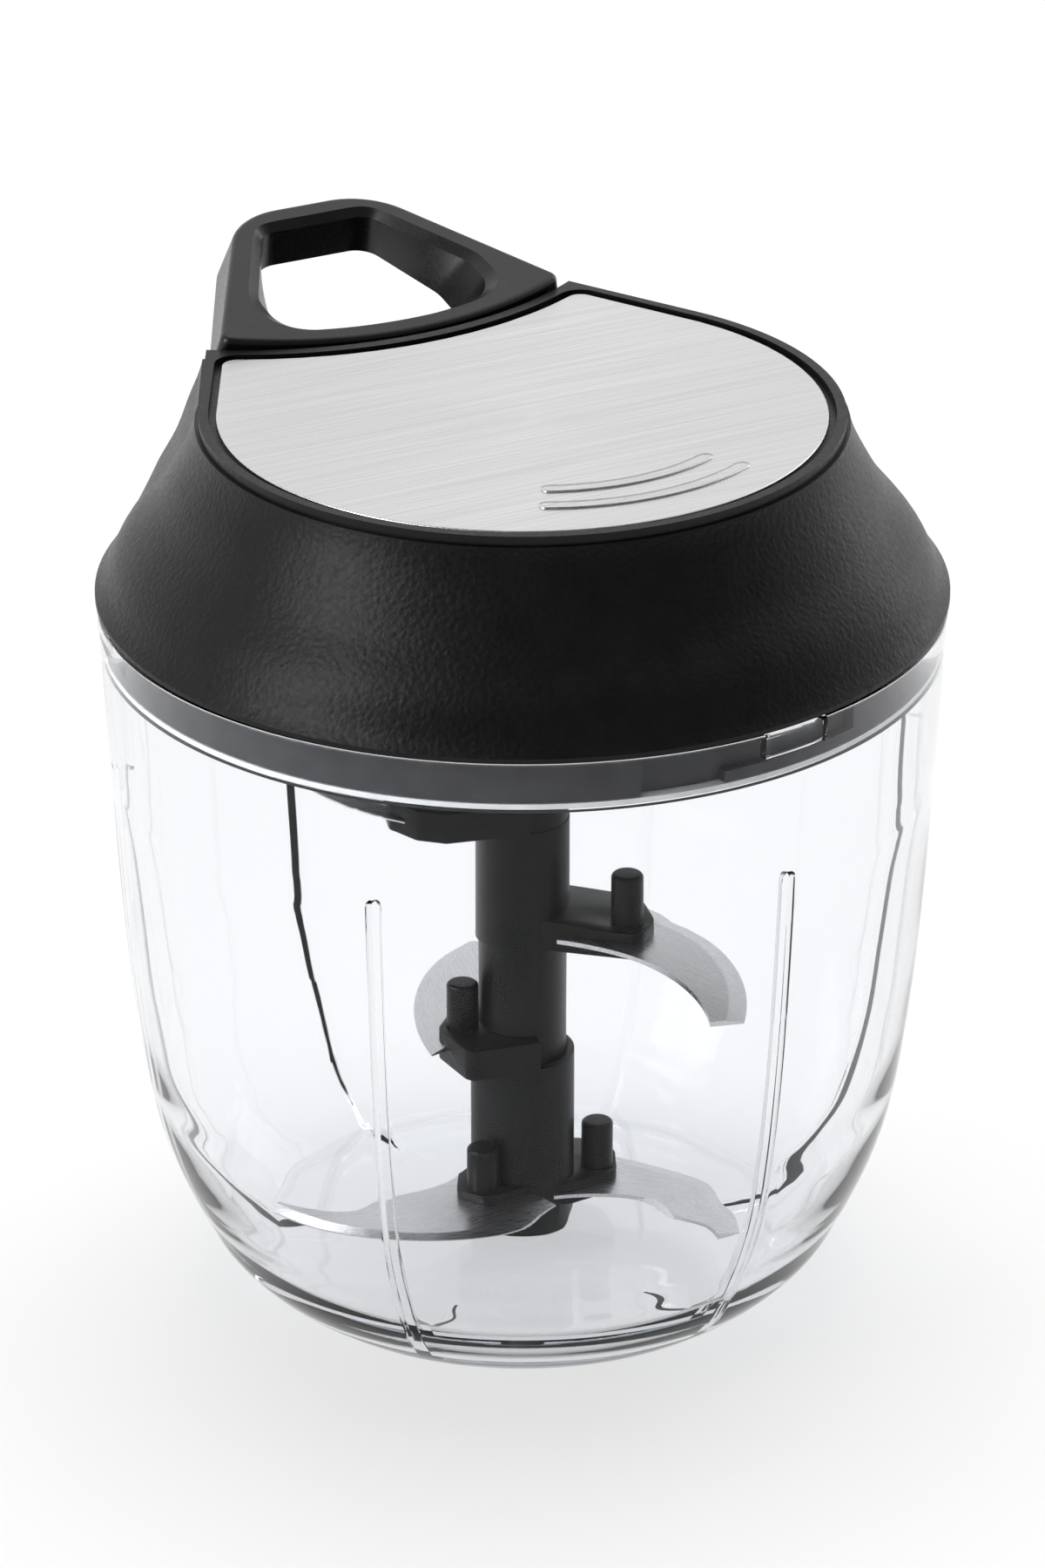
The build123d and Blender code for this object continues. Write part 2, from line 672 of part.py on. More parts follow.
# Brushed plate in the bezel, with two raised bows
with BuildPart() as steel_plate:
    plate_z = recess_z
    extrude(plate_face(plate_z, bezel_width + plate_gap, corner_round), amount=plate_thickness)
    fillet(steel_plate.faces().sort_by(Axis.Z)[-1].edges(), plate_round)
    plate_radius = neck_radius - bezel_width - plate_gap
    for half_share, middle_share, end_share in bow_shares:
        half, middle, end = plate_radius * half_share, plate_radius * middle_share, plate_radius * end_share
        with BuildSketch(Plane.XY.offset(plate_z + plate_thickness / 2)):
            SlotArc(ThreePointArc((bow_shift - half, -end), (bow_shift, -middle), (bow_shift + half, -end),
                                  mode=Mode.PRIVATE), bow_width)
        extrude(amount=plate_thickness / 2 + bow_height)

# Eyelet that guides the cord through the bite wall
with BuildPart() as cord_eyelet:
    wall_y = bite_centre - bite_radius
    with BuildSketch(Plane(origin=(0, reel_room_radius, cord_height), z_dir=(0, 1, 0))):
        Circle(eyelet_radius)
    extrude(amount=wall_y - reel_room_radius + seat_gap + eyelet_flange)
    with BuildSketch(Plane(origin=(0, wall_y + seat_gap, cord_height), z_dir=(0, 1, 0))):
        Circle(eyelet_flange_radius)
    extrude(amount=eyelet_flange)
    with BuildSketch(Plane(origin=(0, reel_room_radius - overrun, cord_height), z_dir=(0, 1, 0))):
        Circle(eyelet_bore)
    extrude(amount=wall_y - reel_room_radius + overrun + overrun, mode=Mode.SUBTRACT)


# Outline of the finger loop: a bowed near edge, two sides and a straight far edge, with round corners
def loop_face(plane, near_share, shares, rounds):
    corners = [(handle_near_half * a, handle_length * b) for a, b in shares]
    mirrored = [(-a, b) for a, b in reversed(corners)]
    with BuildSketch(plane) as face:
        with BuildLine():
            ThreePointArc(mirrored[-1], (0, handle_length * near_share), corners[0])
            Polyline(*corners, *mirrored)
        make_face()
        fillet(face.vertices().sort_by(Axis.Y)[-2:], rounds[2])
        fillet(face.vertices().sort_by(Axis.Y)[2:4], rounds[1])
        fillet(face.vertices().sort_by(Axis.Y)[:2], rounds[0])
    return face.sketch


# Loop handle: tilted, wider below, with a finger hole and a pocket for the knot
tilt_turn = radians(handle_tilt)
handle_plane = Plane(origin=(0, handle_near, handle_near_height), x_dir=(1, 0, 0),
                     z_dir=(0, -sin(tilt_turn), cos(tilt_turn)))
loop_near = handle_length * loop_top_near_share
knot_y = handle_near + (handle_near_height - cord_height) * sin(tilt_turn) + loop_near - knot_sink
with BuildPart() as handle:
    for level, flare in ((0, 0), (-handle_thickness, handle_flare)):
        with BuildSketch(handle_plane.offset(level)) as outline:
            with BuildLine():
                ThreePointArc((-handle_near_half - flare, handle_corner_run), (0, 0),
                              (handle_near_half + flare, handle_corner_run))
                Polyline((handle_near_half + flare, handle_corner_run),
                         (handle_far_half + flare, handle_length + flare),
                         (-handle_far_half - flare, handle_length + flare),
                         (-handle_near_half - flare, handle_corner_run))
            make_face()
            fillet(outline.vertices().sort_by(Axis.Y)[-2:], handle_far_round + flare)
            fillet(outline.vertices().group_by(Axis.Y)[0], handle_corner_round)
    loft()
    foot_plane = handle_plane.offset(-handle_thickness)
    loop_faces = [loop_face(handle_plane, loop_top_near_share, loop_top_shares, loop_top_rounds),
                  loop_face(foot_plane, loop_foot_near_share, loop_foot_shares, loop_foot_rounds)]
    loft(loop_faces, mode=Mode.SUBTRACT)
    crown = handle.faces().sort_by(Axis(handle_plane.origin, handle_plane.z_dir))[-1]
    chamfer(crown.inner_wires()[0].edges(), loop_bevel)
    crown = handle.faces().sort_by(Axis(handle_plane.origin, handle_plane.z_dir))[-1]
    fillet(crown.outer_wire().edges(), handle_edge)
    with BuildSketch(Plane(origin=(0, handle_near - overrun, cord_height), z_dir=(0, 1, 0))):
        Circle(cord_radius + seat_gap)
    extrude(amount=knot_y - handle_near + overrun, mode=Mode.SUBTRACT)
    with BuildSketch(Plane(origin=(0, knot_y, cord_height), z_dir=(0, 1, 0))):
        Circle(knot_radius)
    extrude(amount=knot_sink + overrun, mode=Mode.SUBTRACT)

# Knot on the cord's end
with BuildPart() as cord_knot:
    with BuildSketch(Plane(origin=(0, knot_y, cord_height), z_dir=(0, 1, 0))):
        Circle(knot_radius)
    extrude(amount=knot_length)
    fillet(cord_knot.edges(), knot_round)

# Cord reel with clutch teeth below and the spring chamber above
with BuildPart() as reel:
    drum_radius = winding_radius - cord_radius - seat_gap
    flange_top = reel_top - flange_drop
    with BuildSketch(Plane.XZ):
        with BuildLine():
            Polyline((axle_radius + running_gap, web_bottom), (ratchet_radius, web_bottom),
                     (ratchet_radius, reel_bottom), (drum_radius, reel_bottom),
                     (drum_radius, flange_top - flange_thickness),
                     (flange_radius, flange_top - flange_thickness),
                     (flange_radius, flange_top), (drum_radius, flange_top),
                     (drum_radius, reel_top - flange_thickness), (flange_radius, reel_top - flange_thickness),
                     (flange_radius, reel_top), (cover_radius, reel_top), (cover_radius, cover_bottom),
                     (chamber_radius, cover_bottom), (chamber_radius, web_top),
                     (axle_radius + running_gap, web_top), close=True)
        make_face()
    revolve(axis=Axis.Z)
    for k in range(tooth_count):
        tooth_start = k * 360 / tooth_count
        with BuildSketch(Plane.XY.offset(reel_bottom)):
            with BuildLine():
                Polyline(polar(ratchet_radius + bury, tooth_start),
                         polar(ratchet_radius, tooth_start),
                         polar(ratchet_radius - tooth_depth, tooth_start + tooth_arc),
                         polar(ratchet_radius + bury, tooth_start + tooth_arc), close=True)
            make_face()
        extrude(amount=ratchet_depth + bury)

# Cord wound on the reel, in half turns that climb by turns, and a level run to where it leaves
with BuildPart() as cord_winding:
    leave_angle = degrees(asin(winding_radius / reel_room_radius))
    winding_bottom = winding_top - winding_pitch * winding_turns
    with BuildLine() as turns:
        for k in range(winding_turns + winding_turns):
            way = 1 if k % 2 == 0 else -1
            half_z = winding_bottom + winding_pitch / 2 * k
            ThreePointArc((way * winding_radius, 0, half_z),
                          (0, way * winding_radius, half_z + winding_pitch / 4),
                          (-way * winding_radius, 0, half_z + winding_pitch / 2))
        ThreePointArc((winding_radius, 0, winding_top),
                      (*polar(winding_radius, leave_angle / 2), winding_top),
                      (*polar(winding_radius, leave_angle), winding_top))
    with BuildSketch(Plane(origin=turns.line @ 0, z_dir=turns.line % 0)):
        Circle(cord_radius)
    sweep()
    winding_points = [turns.line @ (k / winding_samples) for k in range(winding_samples + 1)]
    half_turn = winding_samples // (winding_turns + winding_turns + 1)
    winding_gap = min((a - b).length for k, a in enumerate(winding_points)
                      for b in winding_points[k + half_turn:])
    print("Least gap of the winding to itself, mm:", round(winding_gap - cord_radius - cord_radius, 2))

# Cord from the reel through the eyelet to the knot
with BuildPart() as pull_cord:
    leave = Vector(*polar(winding_radius, leave_angle), winding_top)
    mouth = Vector(0, reel_room_radius, cord_height)
    heading = Vector(mouth.X - leave.X, mouth.Y - leave.Y, 0).normalized()
    with BuildLine() as route:
        FilletPolyline(leave + heading * move_gap, leave + heading * cord_level_run, mouth,
                       (0, knot_y, cord_height), radius=cord_bend)
    with BuildSketch(Plane(origin=route.line @ 0, z_dir=route.line % 0)):
        Circle(cord_radius)
    sweep()

# Cap of the spring chamber
with BuildPart() as spring_cover:
    with BuildSketch(Plane.XY.offset(cover_bottom)):
        Circle(cover_radius)
        Circle(cover_hole, mode=Mode.SUBTRACT)
    extrude(amount=cover_thickness)

# Flat spiral spring in its chamber, drawn as half turns on two centres
with BuildPart() as recoil_spring:
    with BuildSketch(Plane.XY.offset(web_top + spring_rise)):
        with BuildLine():
            for face_shift in (0, spring_strip):
                for k in range(spring_half_turns):
                    half_radius = spring_inner_radius + face_shift + k * spring_pitch / 2
                    centre_x = spring_pitch / 2 * (k % 2)
                    way = 1 if k % 2 == 0 else -1
                    ThreePointArc((centre_x + way * half_radius, 0), (centre_x, way * half_radius),
                                  (centre_x - way * half_radius, 0))
            end_way = 1 if spring_half_turns % 2 == 0 else -1
            end_radius = spring_inner_radius + (spring_half_turns - 1) * spring_pitch / 2
            end_x = spring_pitch / 2 * ((spring_half_turns - 1) % 2) + end_way * end_radius
            Line((spring_inner_radius, 0), (spring_inner_radius + spring_strip, 0))
            Line((end_x, 0), (end_x + end_way * spring_strip, 0))
        make_face()
    extrude(amount=spring_width)

# Shouldered axle that the reel turns on, screwed up into its boss
with BuildPart() as reel_axle:
    shoulder_bottom = web_bottom - axle_play
    with BuildSketch(Plane.XY.offset(shoulder_bottom - washer_thickness - axle_head)):
        Circle(axle_head_radius)
    extrude(amount=axle_head)
    with BuildSketch(Plane.XY.offset(shoulder_bottom - washer_thickness - axle_head)):
        Circle(axle_radius)
    extrude(amount=boss_bottom - shoulder_bottom + washer_thickness + axle_head)
    with BuildSketch(Plane.XY.offset(boss_bottom)):
        Circle(axle_thread_radius)
    extrude(amount=axle_thread_length)

# Washer under the reel
with BuildPart() as axle_washer:
    with BuildSketch(Plane.XY.offset(shoulder_bottom - washer_thickness)):
        Circle(washer_radius)
        Circle(axle_radius, mode=Mode.SUBTRACT)
    extrude(amount=washer_thickness)

# Bearing bush of the drive socket
with BuildPart() as drive_bush:
    with BuildSketch(Plane.XY.offset(tube_bottom)):
        Circle(tube_radius - bush_wall)
        Circle(drive_radius + running_gap, mode=Mode.SUBTRACT)
    extrude(amount=tube_depth)

# Drive socket: flange and spigot above its bearing, dog socket below
with BuildPart() as drive_socket:
    flange_z = drive_seat + drive_flange
    with BuildSketch(Plane.XY.offset(drive_bottom)):
        Circle(drive_radius)
    extrude(amount=drive_length + drive_flange)
    with BuildSketch(Plane.XY.offset(drive_seat)):
        Circle(drive_flange_radius)
    extrude(amount=drive_flange)
    with BuildSketch(Plane.XY.offset(flange_z)):
        Circle(drive_spigot_radius)
    extrude(amount=drive_spigot_height)
    with BuildSketch(Plane.XY.offset(flange_z)):
        with PolarLocations(drive_spigot_radius, finger_count):
            Rectangle(key_width, key_width)
    extrude(amount=drive_spigot_height)
    with BuildSketch(Plane.XY.offset(flange_z + drive_spigot_height - drive_well_depth)):
        Circle(drive_well_radius)
    extrude(amount=drive_well_depth + overrun, mode=Mode.SUBTRACT)
    with BuildSketch(Plane.XY.offset(drive_bottom - overrun)):
        Circle(socket_radius)
    extrude(amount=socket_depth + overrun, mode=Mode.SUBTRACT)
    for k in range(dog_count):
        dog_start = (k + 1 / 2) * 360 / dog_count - dog_arc / 2
        dog = block_face(dog_start, head_core_radius + move_gap, socket_radius + bury,
                         drive_bottom + socket_lead, drive_bottom + socket_depth + bury)
        revolve(dog, axis=Axis.Z, revolution_arc=dog_arc)
    # Groove of the retaining clip, just below the bearing tube
    groove = block_face(0, drive_radius - clip_groove, drive_radius + overrun,
                        tube_bottom - drive_float - clip_thickness, tube_bottom - drive_float)
    revolve(groove, axis=Axis.Z, mode=Mode.SUBTRACT)

# Open ring that holds the socket in its bearing
with BuildPart() as drive_circlip:
    clip = block_face(0, drive_radius - clip_groove, drive_radius - clip_groove + clip_width,
                      tube_bottom - drive_float - clip_thickness, tube_bottom - drive_float)
    revolve(clip, axis=Axis.Z, revolution_arc=clip_arc)

# Ring of spring fingers that catch the reel's teeth one way
with BuildPart() as pawl_rotor:
    with BuildSketch(Plane.XY.offset(flange_z)):
        Circle(rotor_radius)
        Circle(drive_spigot_radius, mode=Mode.SUBTRACT)
        with PolarLocations(drive_spigot_radius, finger_count):
            Rectangle(key_width, key_width, mode=Mode.SUBTRACT)
    extrude(amount=rotor_thickness)
    for k in range(finger_count):
        tip_angle = tooth_arc + finger_lead + k * 360 / finger_count
        tip_radius = ratchet_radius - move_gap
        mid_radius = (tip_radius + rotor_radius) / 2
        mid_angle = tip_angle + finger_arc / 2
        root_angle = tip_angle + finger_arc
        with BuildSketch(Plane.XY.offset(flange_z)):
            with BuildLine():
                ThreePointArc(polar(tip_radius, tip_angle), polar(mid_radius + finger_width / 2, mid_angle),
                              polar(rotor_radius, root_angle))
                Line(polar(rotor_radius, root_angle), polar(rotor_radius - finger_width, root_angle))
                ThreePointArc(polar(rotor_radius - finger_width, root_angle),
                              polar(mid_radius - finger_width / 2, mid_angle),
                              polar(tip_radius - finger_width, tip_angle))
                Line(polar(tip_radius - finger_width, tip_angle), polar(tip_radius, tip_angle))
            make_face()
        extrude(amount=rotor_thickness)

# Blade heights and outlines, which cut the arms' slots too
front_blade_z = front_arm_z + blade_rise
side_blade_z = side_arm_z + blade_rise
rear_blade_z = rear_arm_z + blade_rise
middle_blade_z = shaft_step + blade_rise
top_blade_z = step_top + blade_rise
front_face = blade_face(front_blade_z, lower_blade_shares, front_reach, front_tip_angle, hub_root_radius)
side_face = blade_face(side_blade_z, lower_blade_shares, side_reach, side_tip_angle, hub_root_radius)
rear_face = blade_face(rear_blade_z, rear_blade_shares, rear_reach, rear_tip_angle, shaft_root_radius)
middle_face = blade_face(
    middle_blade_z, upper_blade_shares, middle_reach, middle_tip_angle, shaft_root_radius)
top_blade_face = blade_face(top_blade_z, upper_blade_shares, top_reach, top_tip_angle, shaft_root_radius)

# Lower half of the post with two arms, a bush below and a socket above
with BuildPart() as lower_hub:
    with BuildSketch(Plane.XY.offset(hub_bottom)):
        Circle(hub_radius)
    extrude(amount=hub_length)
    extrude(arm_face(front_arm_z, front_arm_shares, front_arm_reach, front_arm_angle), amount=arm_thickness)
    extrude(arm_face(side_arm_z, side_arm_shares, side_arm_reach, side_arm_angle), amount=arm_thickness)
    with BuildSketch(Plane.XY.offset(hub_bottom - overrun)):
        Circle(bush_radius)
    extrude(amount=overrun + hub_bush_length, mode=Mode.SUBTRACT)
    with BuildSketch(Plane.XY.offset(socket_floor)):
        RegularPolygon(tail_flats / 2 + seat_gap, 6, major_radius=False)
    extrude(amount=tail_length + seat_gap, mode=Mode.SUBTRACT)
    with BuildSketch(Plane.XY.offset(socket_floor + tail_length)):
        Circle(shaft_radius + seat_gap)
    extrude(amount=hub_top - socket_floor - tail_length + overrun, mode=Mode.SUBTRACT)
    extrude(front_face, amount=blade_thickness, mode=Mode.SUBTRACT)
    extrude(side_face, amount=blade_thickness, mode=Mode.SUBTRACT)
    extrude(pin_face(front_arm_z + blade_pin_sole, front_pin_circle, front_arm_angle, blade_pin_radius),
            amount=arm_thickness, mode=Mode.SUBTRACT)
    extrude(pin_face(side_arm_z + blade_pin_sole, side_pin_circle, side_arm_angle, blade_pin_radius),
            amount=arm_thickness, mode=Mode.SUBTRACT)

# Bush in the post, round the pivot pin
with BuildPart() as hub_bush:
    with BuildSketch(Plane.XY.offset(hub_bottom)):
        Circle(bush_radius)
        Circle(pin_radius + running_gap, mode=Mode.SUBTRACT)
    extrude(amount=hub_bush_length)

# Upper half of the post: keyed tail, three arms and the driven head
with BuildPart() as upper_shaft:
    with BuildSketch(Plane.XY.offset(socket_floor + seat_gap)):
        RegularPolygon(tail_flats / 2, 6, major_radius=False)
    extrude(amount=tail_length)
    with BuildSketch(Plane.XY.offset(socket_floor + tail_length + seat_gap)):
        Circle(shaft_radius)
    extrude(amount=shaft_step - socket_floor - tail_length - seat_gap)
    with BuildSketch(Plane.XY.offset(shaft_step)):
        Circle(step_radius)
    extrude(amount=step_length)
    with BuildSketch(Plane.XY.offset(step_top)):
        Circle(crown_radius)
    extrude(amount=crown_length)
    with BuildSketch(Plane.XY.offset(crown_top)):
        Circle(crown_neck_radius)
    extrude(amount=crown_neck_length)
    with BuildSketch(Plane.XY.offset(neck_top)):
        Circle(head_core_radius)
    extrude(amount=head_length)
    for k in range(dog_count):
        dog_start = k * 360 / dog_count - dog_arc / 2
        dog = block_face(
            dog_start, head_core_radius - bury, head_dog_radius, neck_top, neck_top + head_length)
        revolve(dog, axis=Axis.Z, revolution_arc=dog_arc)
    extrude(arm_face(rear_arm_z, rear_arm_shares, rear_arm_reach, rear_arm_angle), amount=arm_thickness)
    extrude(arm_face(shaft_step, upper_arm_shares, upper_arm_reach, middle_arm_angle), amount=arm_thickness)
    extrude(arm_face(step_top, upper_arm_shares, upper_arm_reach, top_arm_angle), amount=arm_thickness)
    extrude(rear_face, amount=blade_thickness, mode=Mode.SUBTRACT)
    extrude(middle_face, amount=blade_thickness, mode=Mode.SUBTRACT)
    extrude(top_blade_face, amount=blade_thickness, mode=Mode.SUBTRACT)
    extrude(pin_face(rear_arm_z + blade_pin_sole, rear_pin_circle, rear_arm_angle, blade_pin_radius),
            amount=arm_thickness, mode=Mode.SUBTRACT)
    extrude(pin_face(shaft_step + blade_pin_sole, middle_pin_circle, middle_arm_angle, blade_pin_radius),
            amount=arm_thickness, mode=Mode.SUBTRACT)
    extrude(pin_face(step_top + blade_pin_sole, top_pin_circle, top_arm_angle, blade_pin_radius),
            amount=arm_thickness, mode=Mode.SUBTRACT)

# Five curved blades, each with a bevel along its leading edge and a hole for its pin
with BuildPart() as front_blade:
    extrude(front_face, amount=blade_thickness)
    extrude(pin_face(front_blade_z, front_pin_circle, front_arm_angle, blade_pin_radius),
            amount=blade_thickness, mode=Mode.SUBTRACT)
    bevel, bevel_axis = bevel_section(
        front_blade_z + blade_thickness, lower_blade_shares, front_reach, front_tip_angle)
    revolve(bevel, axis=bevel_axis, mode=Mode.SUBTRACT)

with BuildPart() as side_blade:
    extrude(side_face, amount=blade_thickness)
    extrude(pin_face(side_blade_z, side_pin_circle, side_arm_angle, blade_pin_radius), amount=blade_thickness,
            mode=Mode.SUBTRACT)
    bevel, bevel_axis = bevel_section(
        side_blade_z + blade_thickness, lower_blade_shares, side_reach, side_tip_angle)
    revolve(bevel, axis=bevel_axis, mode=Mode.SUBTRACT)

with BuildPart() as rear_blade:
    extrude(rear_face, amount=blade_thickness)
    extrude(pin_face(rear_blade_z, rear_pin_circle, rear_arm_angle, blade_pin_radius), amount=blade_thickness,
            mode=Mode.SUBTRACT)
    bevel, bevel_axis = bevel_section(
        rear_blade_z + blade_thickness, rear_blade_shares, rear_reach, rear_tip_angle)
    revolve(bevel, axis=bevel_axis, mode=Mode.SUBTRACT)

with BuildPart() as middle_blade:
    extrude(middle_face, amount=blade_thickness)
    extrude(pin_face(middle_blade_z, middle_pin_circle, middle_arm_angle, blade_pin_radius),
            amount=blade_thickness, mode=Mode.SUBTRACT)
    bevel, bevel_axis = bevel_section(middle_blade_z + blade_thickness, upper_blade_shares, middle_reach,
                                      middle_tip_angle)
    revolve(bevel, axis=bevel_axis, mode=Mode.SUBTRACT)

with BuildPart() as top_blade:
    extrude(top_blade_face, amount=blade_thickness)
    extrude(pin_face(top_blade_z, top_pin_circle, top_arm_angle, blade_pin_radius), amount=blade_thickness,
            mode=Mode.SUBTRACT)
    bevel, bevel_axis = bevel_section(
        top_blade_z + blade_thickness, upper_blade_shares, top_reach, top_tip_angle)
    revolve(bevel, axis=bevel_axis, mode=Mode.SUBTRACT)

# Upright pegs through the arms and blades
pin_run = arm_thickness - blade_pin_sole + blade_pin_height
with BuildPart() as lower_blade_pins:
    pin = pin_face(front_arm_z + blade_pin_sole, front_pin_circle, front_arm_angle, blade_pin_radius)
    extrude(pin, amount=pin_run)
    pin = pin_face(side_arm_z + blade_pin_sole, side_pin_circle, side_arm_angle, blade_pin_radius)
    extrude(pin, amount=pin_run)
    fillet(lower_blade_pins.edges().filter_by(GeomType.CIRCLE), blade_pin_round)

with BuildPart() as upper_blade_pins:
    pin = pin_face(rear_arm_z + blade_pin_sole, rear_pin_circle, rear_arm_angle, blade_pin_radius)
    extrude(pin, amount=pin_run)
    pin = pin_face(shaft_step + blade_pin_sole, middle_pin_circle, middle_arm_angle, blade_pin_radius)
    extrude(pin, amount=pin_run)
    pin = pin_face(step_top + blade_pin_sole, top_pin_circle, top_arm_angle, blade_pin_radius)
    extrude(pin, amount=pin_run)
    fillet(upper_blade_pins.edges().filter_by(GeomType.CIRCLE), blade_pin_round)

bowl.part.label = "bowl"
export_step(bowl.part, "parts/bowl.step")
pivot_pin.part.label = "pivot_pin"
export_step(pivot_pin.part, "parts/pivot_pin.step")
lid_base.part.label = "lid_base"
export_step(lid_base.part, "parts/lid_base.step")
lid_screws.part.label = "lid_screws"
export_step(lid_screws.part, "parts/lid_screws.step")
lid_seal.part.label = "lid_seal"
export_step(lid_seal.part, "parts/lid_seal.step")
lid_housing.part.label = "lid_housing"
export_step(lid_housing.part, "parts/lid_housing.step")
steel_plate.part.label = "steel_plate"
export_step(steel_plate.part, "parts/steel_plate.step")
cord_eyelet.part.label = "cord_eyelet"
export_step(cord_eyelet.part, "parts/cord_eyelet.step")
handle.part.label = "handle"
export_step(handle.part, "parts/handle.step")
cord_knot.part.label = "cord_knot"
export_step(cord_knot.part, "parts/cord_knot.step")
reel.part.label = "reel"
export_step(reel.part, "parts/reel.step")
cord_winding.part.label = "cord_winding"
export_step(cord_winding.part, "parts/cord_winding.step")
pull_cord.part.label = "pull_cord"
export_step(pull_cord.part, "parts/pull_cord.step")
spring_cover.part.label = "spring_cover"
export_step(spring_cover.part, "parts/spring_cover.step")
recoil_spring.part.label = "recoil_spring"
export_step(recoil_spring.part, "parts/recoil_spring.step")
reel_axle.part.label = "reel_axle"
export_step(reel_axle.part, "parts/reel_axle.step")
axle_washer.part.label = "axle_washer"
export_step(axle_washer.part, "parts/axle_washer.step")
drive_bush.part.label = "drive_bush"
export_step(drive_bush.part, "parts/drive_bush.step")
drive_socket.part.label = "drive_socket"
export_step(drive_socket.part, "parts/drive_socket.step")
drive_circlip.part.label = "drive_circlip"
export_step(drive_circlip.part, "parts/drive_circlip.step")
pawl_rotor.part.label = "pawl_rotor"
export_step(pawl_rotor.part, "parts/pawl_rotor.step")
lower_hub.part.label = "lower_hub"
export_step(lower_hub.part, "parts/lower_hub.step")
hub_bush.part.label = "hub_bush"
export_step(hub_bush.part, "parts/hub_bush.step")
upper_shaft.part.label = "upper_shaft"
export_step(upper_shaft.part, "parts/upper_shaft.step")
front_blade.part.label = "front_blade"
export_step(front_blade.part, "parts/front_blade.step")
side_blade.part.label = "side_blade"
export_step(side_blade.part, "parts/side_blade.step")
rear_blade.part.label = "rear_blade"
export_step(rear_blade.part, "parts/rear_blade.step")
middle_blade.part.label = "middle_blade"
export_step(middle_blade.part, "parts/middle_blade.step")
top_blade.part.label = "top_blade"
export_step(top_blade.part, "parts/top_blade.step")
lower_blade_pins.part.label = "lower_blade_pins"
export_step(lower_blade_pins.part, "parts/lower_blade_pins.step")
upper_blade_pins.part.label = "upper_blade_pins"
export_step(upper_blade_pins.part, "parts/upper_blade_pins.step")
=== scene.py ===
from math import atan2, cos, hypot, pi, radians, sin

import bmesh
import bpy
from mathutils import Matrix, Vector


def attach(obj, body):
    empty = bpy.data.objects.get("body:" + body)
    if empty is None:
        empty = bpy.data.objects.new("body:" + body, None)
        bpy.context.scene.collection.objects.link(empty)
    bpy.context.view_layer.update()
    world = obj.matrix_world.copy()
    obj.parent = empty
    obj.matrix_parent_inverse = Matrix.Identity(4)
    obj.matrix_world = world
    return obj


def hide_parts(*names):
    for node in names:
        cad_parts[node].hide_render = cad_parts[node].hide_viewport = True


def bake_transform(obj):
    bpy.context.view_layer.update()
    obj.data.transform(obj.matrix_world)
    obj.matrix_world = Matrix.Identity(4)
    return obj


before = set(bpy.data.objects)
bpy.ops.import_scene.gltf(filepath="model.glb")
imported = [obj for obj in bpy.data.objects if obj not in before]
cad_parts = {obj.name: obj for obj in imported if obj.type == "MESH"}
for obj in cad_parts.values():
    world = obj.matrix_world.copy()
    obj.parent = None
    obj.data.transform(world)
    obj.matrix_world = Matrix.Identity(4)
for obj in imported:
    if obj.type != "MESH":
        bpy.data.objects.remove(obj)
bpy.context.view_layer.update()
scene = bpy.context.scene
mm = 0.001

# Studio: a white floor that runs on behind the object, white surroundings behind it and dim ones in front for
# the black lid, a tall soft box on each side for long highlights and one above for the shadow. The camera stands
# a metre off and looks down on the chopper, with the handle turned away to the left.
camera_place, camera_tilt, camera_turn = (-0.4664, -0.8846, 0.5440), 65.025, -27.8
lens_length, sensor_tall = 168.05, 36
away_from_camera = (0.4664, 0.8846, 0)
dim_side, white_side, dim_level, white_level = -0.25, 0.45, 0.16, 1.0
floor_half, floor_drop = 4.0, 0.3 * mm
paper_white, paper_rough, glow_strength, glow_share = 0.9, 0.9, 0.8, 0.82

scene.view_settings.view_transform = "Standard"

camera = bpy.data.objects.new("camera", bpy.data.cameras.new("camera"))
camera.location = camera_place
camera.rotation_euler = (radians(camera_tilt), 0, radians(camera_turn))
camera.data.sensor_fit = "VERTICAL"
camera.data.sensor_height = sensor_tall
camera.data.lens = lens_length
scene.collection.objects.link(camera)
scene.camera = camera

world = bpy.data.worlds.new("studio")
world.use_nodes = True
scene.world = world
nodes, links = world.node_tree.nodes, world.node_tree.links
light_path = nodes.new("ShaderNodeLightPath")
compass = nodes.new("ShaderNodeTexCoord")
depth = nodes.new("ShaderNodeVectorMath")
depth.operation = "DOT_PRODUCT"
depth.inputs[1].default_value = away_from_camera
links.new(compass.outputs["Generated"], depth.inputs[0])
backdrop_share = nodes.new("ShaderNodeMapRange")
backdrop_share.interpolation_type = "SMOOTHSTEP"
backdrop_share.inputs["From Min"].default_value = dim_side
backdrop_share.inputs["From Max"].default_value = white_side
backdrop_share.inputs["To Min"].default_value = dim_level
backdrop_share.inputs["To Max"].default_value = white_level
links.new(depth.outputs["Value"], backdrop_share.inputs["Value"])
seen_white = nodes.new("ShaderNodeMath")
seen_white.operation = "MAXIMUM"
links.new(light_path.outputs["Is Camera Ray"], seen_white.inputs[0])
links.new(light_path.outputs["Is Transmission Ray"], seen_white.inputs[1])
shows_white = nodes.new("ShaderNodeMath")
shows_white.operation = "MAXIMUM"
links.new(seen_white.outputs[0], shows_white.inputs[0])
links.new(backdrop_share.outputs["Result"], shows_white.inputs[1])
links.new(shows_white.outputs[0], nodes["Background"].inputs["Strength"])
nodes["Background"].inputs["Color"].default_value = (1, 1, 1, 1)

